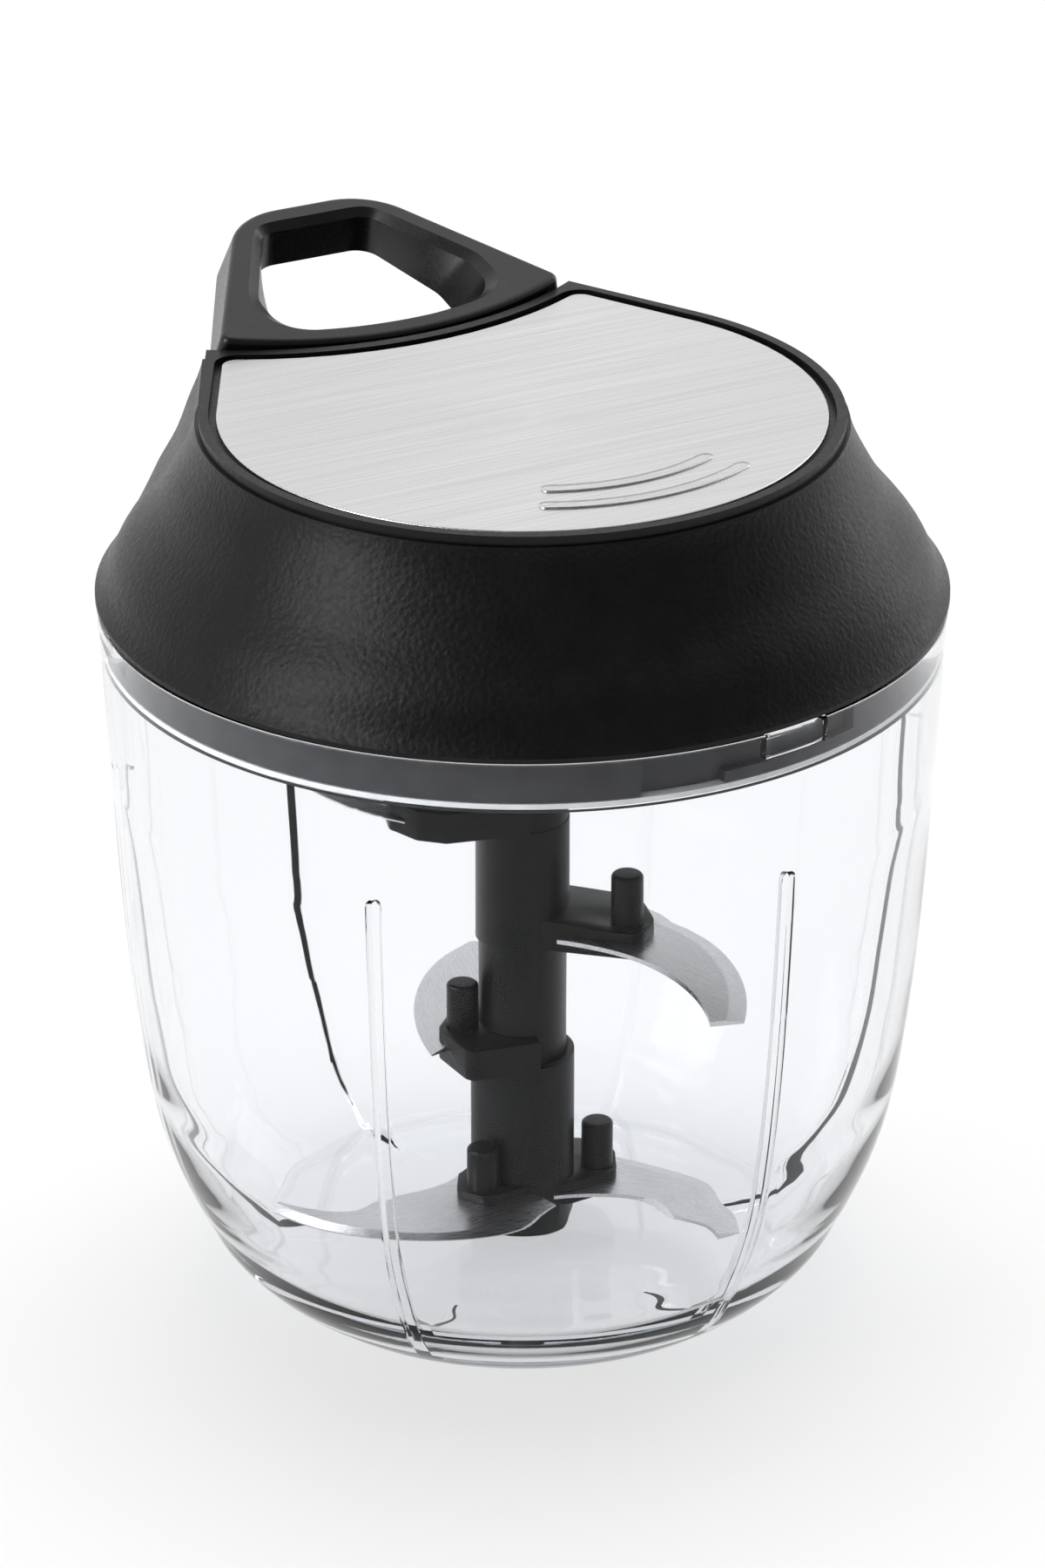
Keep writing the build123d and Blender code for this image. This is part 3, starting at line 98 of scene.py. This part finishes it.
for name, place, aim, width, height, power, shines in (
    ("left_box", (-1.65, 0.0, 0.95), (0, 0, 0.10), 0.8, 1.6, 25.0, True),
    ("right_box", (1.80, 0.40, 0.85), (0, 0, 0.08), 0.7, 1.8, 5.0, True),
    ("top_box", (0.45, 0.75, 3.20), (0, 0, 0.10), 2.4, 2.4, 190.0, False),
):
    lamp = bpy.data.lights.new(name, "AREA")
    lamp.shape = "RECTANGLE"
    lamp.size, lamp.size_y = width, height
    lamp.energy = power
    holder = bpy.data.objects.new(name, lamp)
    holder.location = place
    holder.rotation_euler = (Vector(aim) - Vector(place)).to_track_quat("-Z", "Y").to_euler()
    holder.visible_glossy = shines
    scene.collection.objects.link(holder)

floor_mesh = bpy.data.meshes.new("floor")
bm = bmesh.new()
bmesh.ops.create_grid(bm, x_segments=2, y_segments=2, size=floor_half)
bmesh.ops.translate(bm, verts=bm.verts, vec=(0, 0, -floor_drop))
bm.to_mesh(floor_mesh)
bm.free()
floor = bpy.data.objects.new("floor", floor_mesh)
scene.collection.objects.link(floor)
paper = bpy.data.materials.new("paper")
paper.use_nodes = True
nodes, links = paper.node_tree.nodes, paper.node_tree.links
sheet = nodes["Principled BSDF"]
sheet.inputs["Base Color"].default_value = (paper_white, paper_white, paper_white, 1)
sheet.inputs["Roughness"].default_value = paper_rough
sheet.inputs["Specular IOR Level"].default_value = 0.0
glow = nodes.new("ShaderNodeEmission")
glow.inputs["Strength"].default_value = glow_strength
lift = nodes.new("ShaderNodeMixShader")
lift.inputs["Fac"].default_value = glow_share
links.new(sheet.outputs[0], lift.inputs[1])
links.new(glow.outputs[0], lift.inputs[2])
links.new(lift.outputs[0], nodes["Material Output"].inputs["Surface"])
floor.data.materials.append(paper)

# Bowl: injection-moulded clear plastic, about 2.4 mm thick, with a flat floor, six upright ribs inside and
# three locking lugs in the rim. The wall is one turned skin; the ribs are raised out of it and the lugs drawn
# from the rim's bore.
wall_outside = (
    (40.6, 0.0), (45.0, 4.0), (48.3, 8.0), (50.4, 12.05), (52.3, 16.0), (55.4, 24.0), (57.3, 32.0),
    (58.5, 40.0), (60.4, 58.0), (61.9, 82.0), (62.1, 85.1), (63.4, 109.9),
)
wall_inside = (
    (60.45, 102.5), (59.7, 86.0), (59.59, 83.0), (58.2, 60.0), (56.4, 42.6), (55.2, 34.9), (53.5, 27.1),
    (50.6, 19.4), (48.8, 15.6), (46.8, 11.7), (43.7, 7.9), (39.6, 4.0),
)
wall_steps, foot_skip, wall_lean = 7, 4, 0.0456
rim_top, bore_radius, bore_top, bore_floor, bore_reach = 110.5, 61.4, 109.9, 102.5, 0.1
rim_round = (
    (63.35, 110.2), (63.15, 110.42), (62.8, rim_top), (62.0, rim_top), (61.65, 110.42), (61.45, 110.2),
)
foot = ((0, 0), (20, 0), (39.0, 0), (39.9, 0.0), (40.35, 0.15), (40.75, 0.5))
lug_count, lug_low, lug_middle, lug_high = 3, 106.0, 107.6, 109.2
lug_depth, lug_half, lug_round = 1.7, 5.3, 0.35
rib_count, rib_start, rib_half, rib_edge, rib_depth = 6, -78.5, 0.6, 0.6, 1.4
rib_foot, rib_lowest, rib_top, rib_highest = 38.0, 3.9, 85.1, 88
rib_runs = ((3.6, 24), (3.5, 2), (49.4, 22), (3.5, 2))  # turn and steps over a rib and on to the next one
row_low, row_step, row_count, rows_from, rows_to = 83.0, 0.25, 18, 82.9, 87.3
floor_top, boss_radius, boss_top, pin_radius, pin_floor = 4, 5.2, 5.0, 2.0, 1.2
weld, sharp_turn = 2e-6, 35


def smooth_run(points, steps):
    """Points along a smooth curve through the given radius and height pairs, in metres."""
    curve = bpy.data.curves.new("run", "CURVE")
    curve.dimensions = "3D"
    curve.resolution_u = steps
    spline = curve.splines.new("BEZIER")
    spline.bezier_points.add(len(points) - 1)
    for knot, (radius, height) in zip(spline.bezier_points, points):
        knot.co = (radius * mm, 0, height * mm)
        knot.handle_left_type = knot.handle_right_type = "AUTO"
    holder = bpy.data.objects.new("run", curve)
    mesh = bpy.data.meshes.new_from_object(holder)
    run = [v.co.copy() for v in mesh.vertices]
    bpy.data.objects.remove(holder)
    bpy.data.curves.remove(curve)
    bpy.data.meshes.remove(mesh)
    return run


def place_piece(name, bm, material, body, *stands_for):
    """Turns a bmesh into a smooth-shaded piece of the object that rides on a body."""
    mesh = bpy.data.meshes.new(name)
    bm.to_mesh(mesh)
    bm.free()
    mesh.polygons.foreach_set("use_smooth", [True] * len(mesh.polygons))
    mesh.set_sharp_from_angle(angle=radians(sharp_turn))
    piece = bpy.data.objects.new(name, mesh)
    scene.collection.objects.link(piece)
    mesh.materials.append(material)
    if body:
        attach(piece, body)
    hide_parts(*stands_for)
    return piece


def start_material(name):
    """A new material with its nodes, links, shader and object coordinates."""
    material = bpy.data.materials.new(name)
    material.use_nodes = True
    tree = material.node_tree
    place = tree.nodes.new("ShaderNodeTexCoord").outputs["Object"]
    return material, tree.nodes, tree.links, tree.nodes["Principled BSDF"], place


clear_plastic, nodes, links, shader, place = start_material("clear_plastic_look")
shader.inputs["Base Color"].default_value = (0.985, 0.99, 1.0, 1)
shader.inputs["Transmission Weight"].default_value = 1.0
shader.inputs["IOR"].default_value = 1.48
shader.inputs["Specular Tint"].default_value = (0.12, 0.12, 0.12, 1)
haze = nodes.new("ShaderNodeTexNoise")
haze.inputs["Scale"].default_value = 60
links.new(place, haze.inputs["Vector"])
haze_range = nodes.new("ShaderNodeMapRange")
haze_range.inputs["To Min"].default_value = 0.0
haze_range.inputs["To Max"].default_value = 0.03
links.new(haze.outputs["Fac"], haze_range.inputs["Value"])
links.new(haze_range.outputs["Result"], shader.inputs["Roughness"])
light_path = nodes.new("ShaderNodeLightPath")
lets_through = nodes.new("ShaderNodeBsdfTransparent")
lets_through.inputs["Color"].default_value = (0.9, 0.91, 0.93, 1)
either = nodes.new("ShaderNodeMixShader")
links.new(light_path.outputs["Is Shadow Ray"], either.inputs["Fac"])
links.new(shader.outputs[0], either.inputs[1])
links.new(lets_through.outputs[0], either.inputs[2])
links.new(either.outputs[0], nodes["Material Output"].inputs["Surface"])
depth_tint = nodes.new("ShaderNodeVolumeAbsorption")
depth_tint.inputs["Color"].default_value = (0.78, 0.795, 0.82, 1)
depth_tint.inputs["Density"].default_value = 55
links.new(depth_tint.outputs[0], nodes["Material Output"].inputs["Volume"])

bm = bmesh.new()
outline = [Vector((r * mm, 0, z * mm)) for r, z in foot]
outline += smooth_run(wall_outside, wall_steps)[foot_skip:]
outline += [Vector((r * mm, 0, z * mm)) for r, z in (
    *rim_round, (bore_radius, bore_top), (bore_radius, lug_high), (bore_radius, lug_middle),
    (bore_radius, lug_low), (bore_radius, bore_floor))]
inside = smooth_run(wall_inside, wall_steps)
rib_rows = [Vector((0, 0, (row_low + row_step * k) * mm)) for k in reversed(range(row_count))]
outline += [p for p in inside if p.z > rows_to * mm]
outline += [Vector((inside[0].x + (p.z - inside[0].z) * wall_lean, 0, p.z)) for p in rib_rows]
outline += [p for p in inside if p.z < rows_from * mm]
outline += [Vector((r * mm, 0, z * mm)) for r, z in (
    (30, floor_top), (15, floor_top), (boss_radius, floor_top), (boss_radius, boss_top),
    (pin_radius, boss_top), (pin_radius, pin_floor), (0, pin_floor))]
profile = [bm.verts.new(p) for p in outline]
geom = profile + [bm.edges.new(pair) for pair in zip(profile, profile[1:])]
first_turn = radians(rib_start - rib_runs[0][0] / 2)
bmesh.ops.rotate(bm, verts=profile, cent=(0, 0, 0), matrix=Matrix.Rotation(first_turn, 3, "Z"))
for turn, steps in rib_runs * rib_count:
    made = bmesh.ops.spin(bm, geom=geom, axis=(0, 0, 1), cent=(0, 0, 0), angle=radians(turn), steps=steps)
    geom = made["geom_last"]
bmesh.ops.remove_doubles(bm, verts=bm.verts, dist=weld)
bmesh.ops.recalc_face_normals(bm, faces=bm.faces)
bm.normal_update()
raised = []
for vert in bm.verts:
    radius, height = vert.co.xy.length, vert.co.z
    if radius < rib_foot * mm or not rib_lowest * mm <= height <= rib_highest * mm:
        continue
    if vert.normal.xy.dot(vert.co.xy) > 0:
        continue
    turn = (atan2(vert.co.y, vert.co.x) - radians(rib_start) + pi / rib_count) % (2 * pi / rib_count)
    turn -= pi / rib_count
    aside = hypot(radius * sin(turn), max(0, height - rib_top * mm))
    share = min(1, max(0, 1 - (aside - rib_half * mm) / (rib_edge * mm)))
    if share > 0:
        raised.append((vert, vert.normal * rib_depth * mm * share * share * (3 - 2 * share)))
for vert, step in raised:
    vert.co += step
lug_faces = []
for face in bm.faces:
    centre = face.calc_center_median()
    turn = (atan2(centre.y, centre.x) - radians(rib_start) + pi / lug_count) % (2 * pi / lug_count)
    turn -= pi / lug_count
    on_bore = abs(centre.xy.length - bore_radius * mm) < bore_reach * mm
    if on_bore and lug_low * mm < centre.z < lug_high * mm and abs(turn) < radians(lug_half):
        lug_faces.append(face)
drawn = bmesh.ops.extrude_face_region(bm, geom=lug_faces)["geom"]
lug_verts = [item for item in drawn if isinstance(item, bmesh.types.BMVert)]
lug_share = 1 - lug_depth / bore_radius
bmesh.ops.scale(bm, verts=lug_verts, vec=(lug_share, lug_share, 1))
bmesh.ops.delete(bm, geom=[face for face in lug_faces if face.is_valid], context="FACES")
drawn_faces = {item for item in drawn if isinstance(item, bmesh.types.BMFace)}
lug_edges = [edge for edge in bm.edges if len(drawn_faces.intersection(edge.link_faces)) == 1]
bmesh.ops.bevel(bm, geom=lug_edges, affect="EDGES", offset=lug_round * mm, segments=2, profile=0.5,
                material=-1)
bmesh.ops.recalc_face_normals(bm, faces=bm.faces)
bowl = place_piece("clear_bowl", bm, clear_plastic, "bowl", "bowl")

# Pivot pin: a turned and polished steel pin pressed into the boss in the bowl's floor, with fine rings left by
# the lathe. The post's bush turns on it.
noise_low, noise_high = 0.3, 0.7


def vary(nodes, links, vector, scale, low, high, socket, detail=2.0):
    """Feeds a socket from noise between two values."""
    noise = nodes.new("ShaderNodeTexNoise")
    noise.inputs["Scale"].default_value = scale
    noise.inputs["Detail"].default_value = detail
    links.new(vector, noise.inputs["Vector"])
    span = nodes.new("ShaderNodeMapRange")
    span.inputs["From Min"].default_value = noise_low
    span.inputs["From Max"].default_value = noise_high
    span.inputs["To Min"].default_value = low
    span.inputs["To Max"].default_value = high
    links.new(noise.outputs["Fac"], span.inputs["Value"])
    links.new(span.outputs["Result"], socket)
    return noise.outputs["Fac"]


def tint(nodes, links, vector, scale, dark, light, shader, detail=2.0):
    """Feeds the base colour from noise between two colours."""
    noise = nodes.new("ShaderNodeTexNoise")
    noise.inputs["Scale"].default_value = scale
    noise.inputs["Detail"].default_value = detail
    links.new(vector, noise.inputs["Vector"])
    ramp = nodes.new("ShaderNodeValToRGB")
    ramp.color_ramp.elements[0].position = noise_low
    ramp.color_ramp.elements[0].color = (*dark, 1)
    ramp.color_ramp.elements[1].position = noise_high
    ramp.color_ramp.elements[1].color = (*light, 1)
    links.new(noise.outputs["Fac"], ramp.inputs["Fac"])
    links.new(ramp.outputs["Color"], shader.inputs["Base Color"])


def stretch(nodes, links, place, turn, stretches):
    """Object coordinates turned about Z and stretched, for streaks."""
    turned = nodes.new("ShaderNodeMapping")
    turned.inputs["Rotation"].default_value = (0, 0, radians(-turn))
    links.new(place, turned.inputs["Vector"])
    scaled = nodes.new("ShaderNodeMapping")
    scaled.inputs["Scale"].default_value = stretches
    links.new(turned.outputs["Vector"], scaled.inputs["Vector"])
    return scaled.outputs["Vector"]


def emboss(nodes, links, height, strength, depth, shader):
    """Bump from a height, with its depth in metres."""
    bump = nodes.new("ShaderNodeBump")
    bump.inputs["Strength"].default_value = strength
    bump.inputs["Distance"].default_value = depth
    links.new(height, bump.inputs["Height"])
    links.new(bump.outputs["Normal"], shader.inputs["Normal"])


def dress(material, *names):
    """Gives CAD nodes a material in place of their plain one."""
    for name in names:
        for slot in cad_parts[name].material_slots:
            slot.material = material


turned_steel, nodes, links, shader, place = start_material("turned_steel_look")
shader.inputs["Metallic"].default_value = 1.0
rings = stretch(nodes, links, place, 0, (30, 30, 2600))
tint(nodes, links, rings, 1, (0.52, 0.52, 0.53), (0.66, 0.66, 0.67), shader)
height = vary(nodes, links, rings, 1, 0.14, 0.26, shader.inputs["Roughness"])
emboss(nodes, links, height, 0.15, 0.02 * mm, shader)
dress(turned_steel, "pivot_pin")

# Post bush: a short sleeve of natural nylon pressed into the bottom of the post, so that plastic runs on the
# steel pin. Nylon is slightly cloudy, with a faint mottle.
nylon, nodes, links, shader, place = start_material("nylon_look")
shader.inputs["Subsurface Weight"].default_value = 0.15
shader.inputs["Subsurface Radius"].default_value = (0.001, 0.001, 0.001)
tint(nodes, links, place, 350, (0.50, 0.50, 0.47), (0.60, 0.60, 0.57), shader)
height = vary(nodes, links, place, 900, 0.38, 0.5, shader.inputs["Roughness"])
emboss(nodes, links, height, 0.1, 0.03 * mm, shader)
dress(nylon, "hub_bush")

# Blade post: two mouldings of satin black plastic, the shaft's foot pressed into the hub, each with flat arms
# that carry the blades. All moulded edges are slightly rounded.
post_rounding, flat_turn = 0.35, 1
black_low, black_high = (0.0025, 0.0025, 0.0028), (0.0045, 0.0045, 0.0048)


def merged(node):
    """A copy of a CAD node's mesh with its seams welded and its flat faces made whole."""
    bm = bmesh.new()
    bm.from_mesh(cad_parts[node].data)
    bmesh.ops.remove_doubles(bm, verts=bm.verts, dist=weld)
    bmesh.ops.dissolve_limit(bm, angle_limit=radians(flat_turn), verts=bm.verts, edges=bm.edges)
    return bm


def softened(node, width):
    """A copy of a CAD node with its sharp edges rounded over."""
    bm = merged(node)
    inner = [edge for edge in bm.edges if len(edge.link_faces) == 2]
    sharp = [edge for edge in inner if edge.calc_face_angle(0) > radians(sharp_turn)]
    bmesh.ops.bevel(bm, geom=sharp, affect="EDGES", offset=width * mm, segments=2, profile=0.5, material=-1,
                    clamp_overlap=True)
    return bm


post_plastic, nodes, links, shader, place = start_material("post_plastic_look")
shader.inputs["Specular IOR Level"].default_value = 0.16
tint(nodes, links, place, 220, black_low, black_high, shader)
height = vary(nodes, links, place, 2600, 0.3, 0.4, shader.inputs["Roughness"])
emboss(nodes, links, height, 0.05, 0.02 * mm, shader)
for node in ("lower_hub", "upper_shaft"):
    moulding = place_piece("moulded_" + node, softened(node, post_rounding), post_plastic, "blade_set", node)

# Blade pegs: round black pegs moulded from the post's plastic, pressed down through the blades into the arms so
# that each blade is clamped. Their tops are chamfered to lead them in.
for node in ("lower_blade_pins", "upper_blade_pins"):
    pegs = place_piece("pressed_" + node, softened(node, post_rounding), post_plastic, "blade_set", node)

# Blades: five curved blades stamped from stainless sheet, brushed along their length and ground to a bright
# bevel along the outer edge. Each is slotted into its arm and pinned.
for blade, tip_turn in (
    ("front_blade", 170.5), ("side_blade", -58.5), ("rear_blade", 74.2), ("middle_blade", -77.9),
    ("top_blade", 120.0),
):
    steel, nodes, links, shader, place = start_material(blade + "_steel_look")
    shader.inputs["Metallic"].default_value = 1.0
    streaks = stretch(nodes, links, place, tip_turn, (40, 6000, 6000))
    tint(nodes, links, streaks, 1, (0.53, 0.53, 0.54), (0.59, 0.59, 0.60), shader, 3)
    height = vary(nodes, links, streaks, 1, 0.24, 0.34, shader.inputs["Roughness"], 3)
    emboss(nodes, links, height, 0.06, 0.02 * mm, shader)
    dress(steel, blade)

# Seal: a pale silicone ring, moulded soft, stretched into the groove under the lid's skirt, where it presses on
# the ledge of the bowl.
silicone, nodes, links, shader, place = start_material("silicone_look")
shader.inputs["Subsurface Weight"].default_value = 0.3
shader.inputs["Subsurface Radius"].default_value = (0.0015, 0.0015, 0.0015)
shader.inputs["Specular IOR Level"].default_value = 0.35
tint(nodes, links, place, 260, (0.70, 0.71, 0.71), (0.80, 0.81, 0.81), shader)
height = vary(nodes, links, place, 1400, 0.5, 0.62, shader.inputs["Roughness"])
emboss(nodes, links, height, 0.15, 0.03 * mm, shader)
dress(silicone, "lid_seal")

# Lid floor: a dark grey moulding with the skirt that locks under the bowl's lugs, the bearing tube and the
# floor that closes the bell. It is left with a fine spark-eroded texture.
skirt_plastic, nodes, links, shader, place = start_material("skirt_plastic_look")
shader.inputs["Specular IOR Level"].default_value = 0.35
tint(nodes, links, place, 300, (0.03, 0.03, 0.033), (0.045, 0.045, 0.048), shader)
height = vary(nodes, links, place, 2200, 0.42, 0.56, shader.inputs["Roughness"], 3)
emboss(nodes, links, height, 0.3, 0.05 * mm, shader)
dress(skirt_plastic, "lid_base")

# Lid screws: four turned steel screws that hold the lid's floor to the bell. They are driven up through the
# floor into the bell's bosses.
dress(turned_steel, "lid_screws")

# Drive: a bearing bush of nylon in the floor's tube, and in it the white acetal socket that grips the post's
# head, held by a steel clip. The ring of spring fingers on the socket is one half of the one-way clutch.
acetal, nodes, links, shader, place = start_material("acetal_look")
shader.inputs["Subsurface Weight"].default_value = 0.12
shader.inputs["Subsurface Radius"].default_value = (0.001, 0.001, 0.001)
tint(nodes, links, place, 300, (0.74, 0.74, 0.72), (0.84, 0.84, 0.82), shader)
height = vary(nodes, links, place, 1200, 0.32, 0.45, shader.inputs["Roughness"])
emboss(nodes, links, height, 0.1, 0.03 * mm, shader)
dress(nylon, "drive_bush")
dress(acetal, "drive_socket", "pawl_rotor")
dress(turned_steel, "drive_circlip")

# Reel: a white acetal reel with the clutch's teeth below and the spring's chamber above, closed by a thin cap.
# It turns on a steel axle that is screwed into the bell, with a washer under the axle's head.
dress(acetal, "reel", "spring_cover")
dress(turned_steel, "reel_axle", "axle_washer")

# Recoil spring: a flat strip of blued spring steel, wound as a spiral in the reel's chamber, with rolling lines
# along the strip.
blued_steel, nodes, links, shader, place = start_material("blued_steel_look")
shader.inputs["Metallic"].default_value = 1.0
lines = stretch(nodes, links, place, 0, (60, 60, 3000))
tint(nodes, links, lines, 1, (0.28, 0.29, 0.33), (0.40, 0.41, 0.46), shader)
height = vary(nodes, links, lines, 1, 0.25, 0.38, shader.inputs["Roughness"])
emboss(nodes, links, height, 0.15, 0.02 * mm, shader)
dress(blued_steel, "recoil_spring")

# Cord on the reel: four turns of undyed braided cord, 2 mm thick, wound side by side between the reel's flanges
# and led off level toward the eyelet, until it stands clear of the turns below it.
cord_thick, cord_level, eyelet_level, cord_steps, cord_weld = 2.0, 131.2, 134.4, 4, 1e-6
winding_middle, winding_low, winding_pitch, winding_turns, turn_points = 20.2, 120.8, 2.6, 4, 16
lead_turns, lead_end = (21, 41.8), (8.53, 20.45)


def braided_tube(name, points, thick, closed=False):
    """A cord of the given thickness along a smooth spline through control points in millimetres."""
    curve = bpy.data.curves.new(name, "CURVE")
    curve.dimensions = "3D"
    curve.resolution_u = cord_steps
    curve.bevel_depth = thick / 2 * mm
    curve.bevel_resolution = cord_steps
    curve.use_fill_caps = not closed
    spline = curve.splines.new("NURBS")
    spline.points.add(len(points) - 1)
    for point, (x, y, z) in zip(spline.points, points):
        point.co = (x * mm, y * mm, z * mm, 1)
    spline.order_u = 3
    spline.use_endpoint_u = not closed
    spline.use_cyclic_u = closed
    holder = bpy.data.objects.new(name, curve)
    mesh = bpy.data.meshes.new_from_object(holder)
    bpy.data.objects.remove(holder)
    bpy.data.curves.remove(curve)
    bm = bmesh.new()
    bm.from_mesh(mesh)
    bpy.data.meshes.remove(mesh)
    bmesh.ops.remove_doubles(bm, verts=bm.verts, dist=cord_weld)
    bmesh.ops.recalc_face_normals(bm, faces=bm.faces)
    return bm


braid, nodes, links, shader, place = start_material("braided_cord_look")
shader.inputs["Sheen Weight"].default_value = 0.3
shader.inputs["Specular IOR Level"].default_value = 0.15
shader.inputs["Roughness"].default_value = 0.85
# Braid strands: the colour runs from pale at each strand's middle to dark at its edge, where the bump sinks in,
# so the grooves between strands carry painted shade.
strands = nodes.new("ShaderNodeTexVoronoi")
strands.inputs["Scale"].default_value = 2200
links.new(place, strands.inputs["Vector"])
strand_colour_and_groove_shade = nodes.new("ShaderNodeValToRGB")
strand_colour_and_groove_shade.color_ramp.elements[0].color = (0.64, 0.62, 0.57, 1)
strand_colour_and_groove_shade.color_ramp.elements[1].color = (0.36, 0.35, 0.31, 1)
links.new(strands.outputs["Distance"], strand_colour_and_groove_shade.inputs["Fac"])
links.new(strand_colour_and_groove_shade.outputs["Color"], shader.inputs["Base Color"])
emboss(nodes, links, strands.outputs["Distance"], 0.8, -0.15 * mm, shader)
winding_route = []
for k in range(winding_turns * turn_points + 1):
    turn = 2 * pi * k / turn_points
    winding_route.append((winding_middle * cos(turn), winding_middle * sin(turn),
                          winding_low + winding_pitch * k / turn_points))
for turn in (radians(degrees) for degrees in lead_turns):
    winding_route.append((winding_middle * cos(turn), winding_middle * sin(turn), cord_level))
winding_route.append((*lead_end, cord_level))
turns = braided_tube("wound_cord", winding_route, cord_thick)
winding = place_piece("wound_cord", turns, braid, "reel", "cord_winding")

# Pull cord: the same cord from the reel up through the eyelet to the handle. Its end draws out with the handle;
# here it is drawn at rest and rides on no body.
cord_route = (
    (8.27, 20.75, cord_level), (7.1, 22.05, cord_level), (4.57, 24.89, cord_level),
    (0, 30.0, eyelet_level), (0, 34.3, eyelet_level), (0, 38.6, eyelet_level),
)
run = braided_tube("drawn_cord", cord_route, cord_thick)
pull_cord = place_piece("drawn_cord", run, braid, None, "pull_cord")
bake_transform(pull_cord)

# Cord knot: the cord's end, tied in a tight three-lobed knot. It is pressed into the pocket in the handle's
# near bar, so that the handle hangs on it.
knot_lobe, knot_share, knot_wave, knot_middle, knot_points, knot_thick = 0.75, 0.62, 0.3, 39.55, 36, 1.1
knot_route = []
for k in range(knot_points):
    turn = 2 * pi * k / knot_points
    knot_route.append((
        knot_lobe * (sin(turn) + knot_share * sin(2 * turn)), knot_middle - knot_wave * sin(3 * turn),
        eyelet_level + knot_lobe * (cos(turn) - knot_share * cos(2 * turn)),
    ))
tie = braided_tube("tied_knot", knot_route, knot_thick, True)
knot = place_piece("tied_knot", tie, braid, "handle", "cord_knot")

# Eyelet: a small nickel-plated ring that keeps the cord from cutting into the plastic. It is flared over the
# wall of the bell where the cord comes out.
nickel, nodes, links, shader, place = start_material("nickel_look")
shader.inputs["Metallic"].default_value = 1.0
tint(nodes, links, place, 800, (0.64, 0.62, 0.57), (0.74, 0.72, 0.68), shader)
vary(nodes, links, place, 1500, 0.12, 0.24, shader.inputs["Roughness"])
dress(nickel, "cord_eyelet")

# Bell of the lid: one moulding of black plastic. The bell and its drop-shaped neck carry a fine leather grain,
# and the bezel round the top is left smooth, with a dark line at its foot.
bezel_foot, grain_fade, pebble_scale, crease_scale = 137.4, 0.3, 1150, 1500
bell_plastic, nodes, links, shader, place = start_material("grained_bell_look")
shader.inputs["Specular IOR Level"].default_value = 0.2
tint(nodes, links, place, 160, black_low, black_high, shader)
axes = nodes.new("ShaderNodeSeparateXYZ")
links.new(place, axes.inputs["Vector"])
grained = nodes.new("ShaderNodeMapRange")
grained.inputs["From Min"].default_value = (bezel_foot + grain_fade) * mm
grained.inputs["From Max"].default_value = (bezel_foot - grain_fade) * mm
links.new(axes.outputs["Z"], grained.inputs["Value"])
pebbles = nodes.new("ShaderNodeTexVoronoi")
pebbles.feature = "SMOOTH_F1"
pebbles.inputs["Scale"].default_value = pebble_scale
links.new(place, pebbles.inputs["Vector"])
creases = nodes.new("ShaderNodeTexNoise")
creases.inputs["Scale"].default_value = crease_scale
creases.inputs["Detail"].default_value = 3
links.new(place, creases.inputs["Vector"])
leather = nodes.new("ShaderNodeMath")
leather.operation = "SUBTRACT"
links.new(creases.outputs["Fac"], leather.inputs[0])
links.new(pebbles.outputs["Distance"], leather.inputs[1])
grain_height = nodes.new("ShaderNodeMath")
grain_height.operation = "MULTIPLY"
links.new(leather.outputs[0], grain_height.inputs[0])
links.new(grained.outputs["Result"], grain_height.inputs[1])
emboss(nodes, links, grain_height.outputs[0], 0.5, 0.12 * mm, shader)
vary(nodes, links, place, 1300, 0.34, 0.44, shader.inputs["Roughness"])
dress(bell_plastic, "lid_housing")

# Steel plate: a thin stainless plate set into the bezel, brushed straight across the handle's line, with a
# rolled edge and two bows pressed up out of it. The bows are domed in two steps.
bow_steps, bow_reach, level_share = ((0.35, 0.2), (0.4, 0.08)), 0.01, 0.999
plate_steel, nodes, links, shader, place = start_material("brushed_plate_look")
shader.inputs["Metallic"].default_value = 1.0
shader.inputs["Anisotropic"].default_value = 0.4
strokes = stretch(nodes, links, place, 0, (28, 2600, 2600))
tint(nodes, links, strokes, 1, (0.60, 0.60, 0.60), (0.76, 0.76, 0.76), shader, 4)
height = vary(nodes, links, strokes, 1, 0.24, 0.36, shader.inputs["Roughness"], 4)
emboss(nodes, links, height, 0.3, 0.02 * mm, shader)
bm = merged("steel_plate")
bow_top = max(vert.co.z for vert in bm.verts)
bows = [face for face in bm.faces if face.calc_center_median().z > bow_top - bow_reach * mm]
for inset, drop in bow_steps:
    ring = {vert for face in bows for vert in face.verts}
    bmesh.ops.inset_region(bm, faces=bows, thickness=inset * mm, use_even_offset=True)
    bmesh.ops.translate(bm, verts=list(ring), vec=(0, 0, -drop * mm))
plate = place_piece("pressed_plate", bm, plate_steel, "lid", "steel_plate")
for face in plate.data.polygons:
    if face.normal.z > level_share:
        face.use_smooth = False

# Handle: one satin black moulding with a finger loop, rounded along its outer edge and bevelled round the loop.
# The knot of the cord sits in a pocket in its near bar.
handle_plastic, nodes, links, shader, place = start_material("handle_plastic_look")
shader.inputs["Specular IOR Level"].default_value = 0.4
tint(nodes, links, place, 180, black_low, black_high, shader)
height = vary(nodes, links, place, 2000, 0.26, 0.36, shader.inputs["Roughness"])
emboss(nodes, links, height, 0.1, 0.02 * mm, shader)
dress(handle_plastic, "handle")
